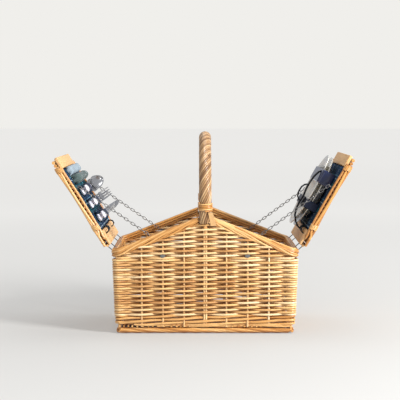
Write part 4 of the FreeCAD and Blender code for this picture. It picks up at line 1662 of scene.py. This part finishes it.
def floor_material():
    """Matt pale paint that glows more the farther it is from the basket, as an evenly lit sweep does."""
    material, nodes, links, shader = new_material("studio_floor")
    shader.inputs["Base Color"].default_value = (0.37, 0.366, 0.353, 1)
    shader.inputs["Emission Color"].default_value = (1.0, 0.985, 0.95, 1)
    shader.inputs["Roughness"].default_value = 0.9
    shader.inputs["Specular IOR Level"].default_value = 0.1
    place = nodes.new("ShaderNodeTexCoord")
    reach = nodes.new("ShaderNodeVectorMath")
    reach.operation = "LENGTH"
    links.new(place.outputs["Object"], reach.inputs[0])
    part = nodes.new("ShaderNodeMath")
    part.operation = "DIVIDE"
    part.inputs[1].default_value = 10.0
    links.new(reach.outputs["Value"], part.inputs[0])
    levels = [(0.03, 0.30), (0.14, 0.44), (0.32, 0.60), (0.9, 0.645)]
    glow = ramp(nodes, [(spot, (level, level, level)) for spot, level in levels])
    links.new(part.outputs[0], glow.inputs["Fac"])
    links.new(glow.outputs["Color"], shader.inputs["Emission Strength"])
    return material


FLOOR_HALF = 30
corners = [(-FLOOR_HALF, -FLOOR_HALF, 0), (FLOOR_HALF, -FLOOR_HALF, 0), (FLOOR_HALF, FLOOR_HALF, 0),
           (-FLOOR_HALF, FLOOR_HALF, 0)]
floor_mesh = bpy.data.meshes.new("floor")
floor_mesh.from_pydata(corners, [], [(0, 1, 2, 3)])
floor = bpy.data.objects.new("floor", floor_mesh)
bpy.context.scene.collection.objects.link(floor)
floor.data.materials.append(floor_material())

world = bpy.data.worlds.new("studio")
bpy.context.scene.world = world
world.use_nodes = True
sky, sky_links = world.node_tree.nodes, world.node_tree.links
seen = sky["Background"]
seen.inputs["Color"].default_value = (0.872, 0.862, 0.832, 1)
lit = sky.new("ShaderNodeBackground")
lit.inputs["Color"].default_value = (0.93, 0.95, 1.0, 1)
lit.inputs["Strength"].default_value = 0.50
path = sky.new("ShaderNodeLightPath")
choose = sky.new("ShaderNodeMixShader")
sky_links.new(path.outputs["Is Camera Ray"], choose.inputs[0])
sky_links.new(lit.outputs[0], choose.inputs[1])
sky_links.new(seen.outputs[0], choose.inputs[2])
sky_links.new(choose.outputs[0], sky["World Output"].inputs[0])
area_light("key_light", (2.5, -1.7, 1.5), (0, 0, 0.2), (0.7, 0.7), 152)
area_light("fill_light", (-1.8, -1.2, 1.2), (0, 0, 0.2), (1.4, 1.4), 4)
area_light("top_light", (0.2, 0.6, 2.4), (0, 0, 0.1), (1.6, 1.2), 14)

camera_data = bpy.data.cameras.new("camera")
camera_data.sensor_width = 36
camera_data.lens = 105.7
camera = bpy.data.objects.new("camera", camera_data)
camera.location = (-0.012, -2.83, 0.517)
camera.rotation_euler = (math.radians(90 - 4.38), 0, 0)
bpy.context.scene.collection.objects.link(camera)
bpy.context.scene.camera = camera
bpy.context.scene.view_settings.view_transform = "Standard"
print("studio", "lens", camera_data.lens, "camera", [round(c, 3) for c in camera.location])
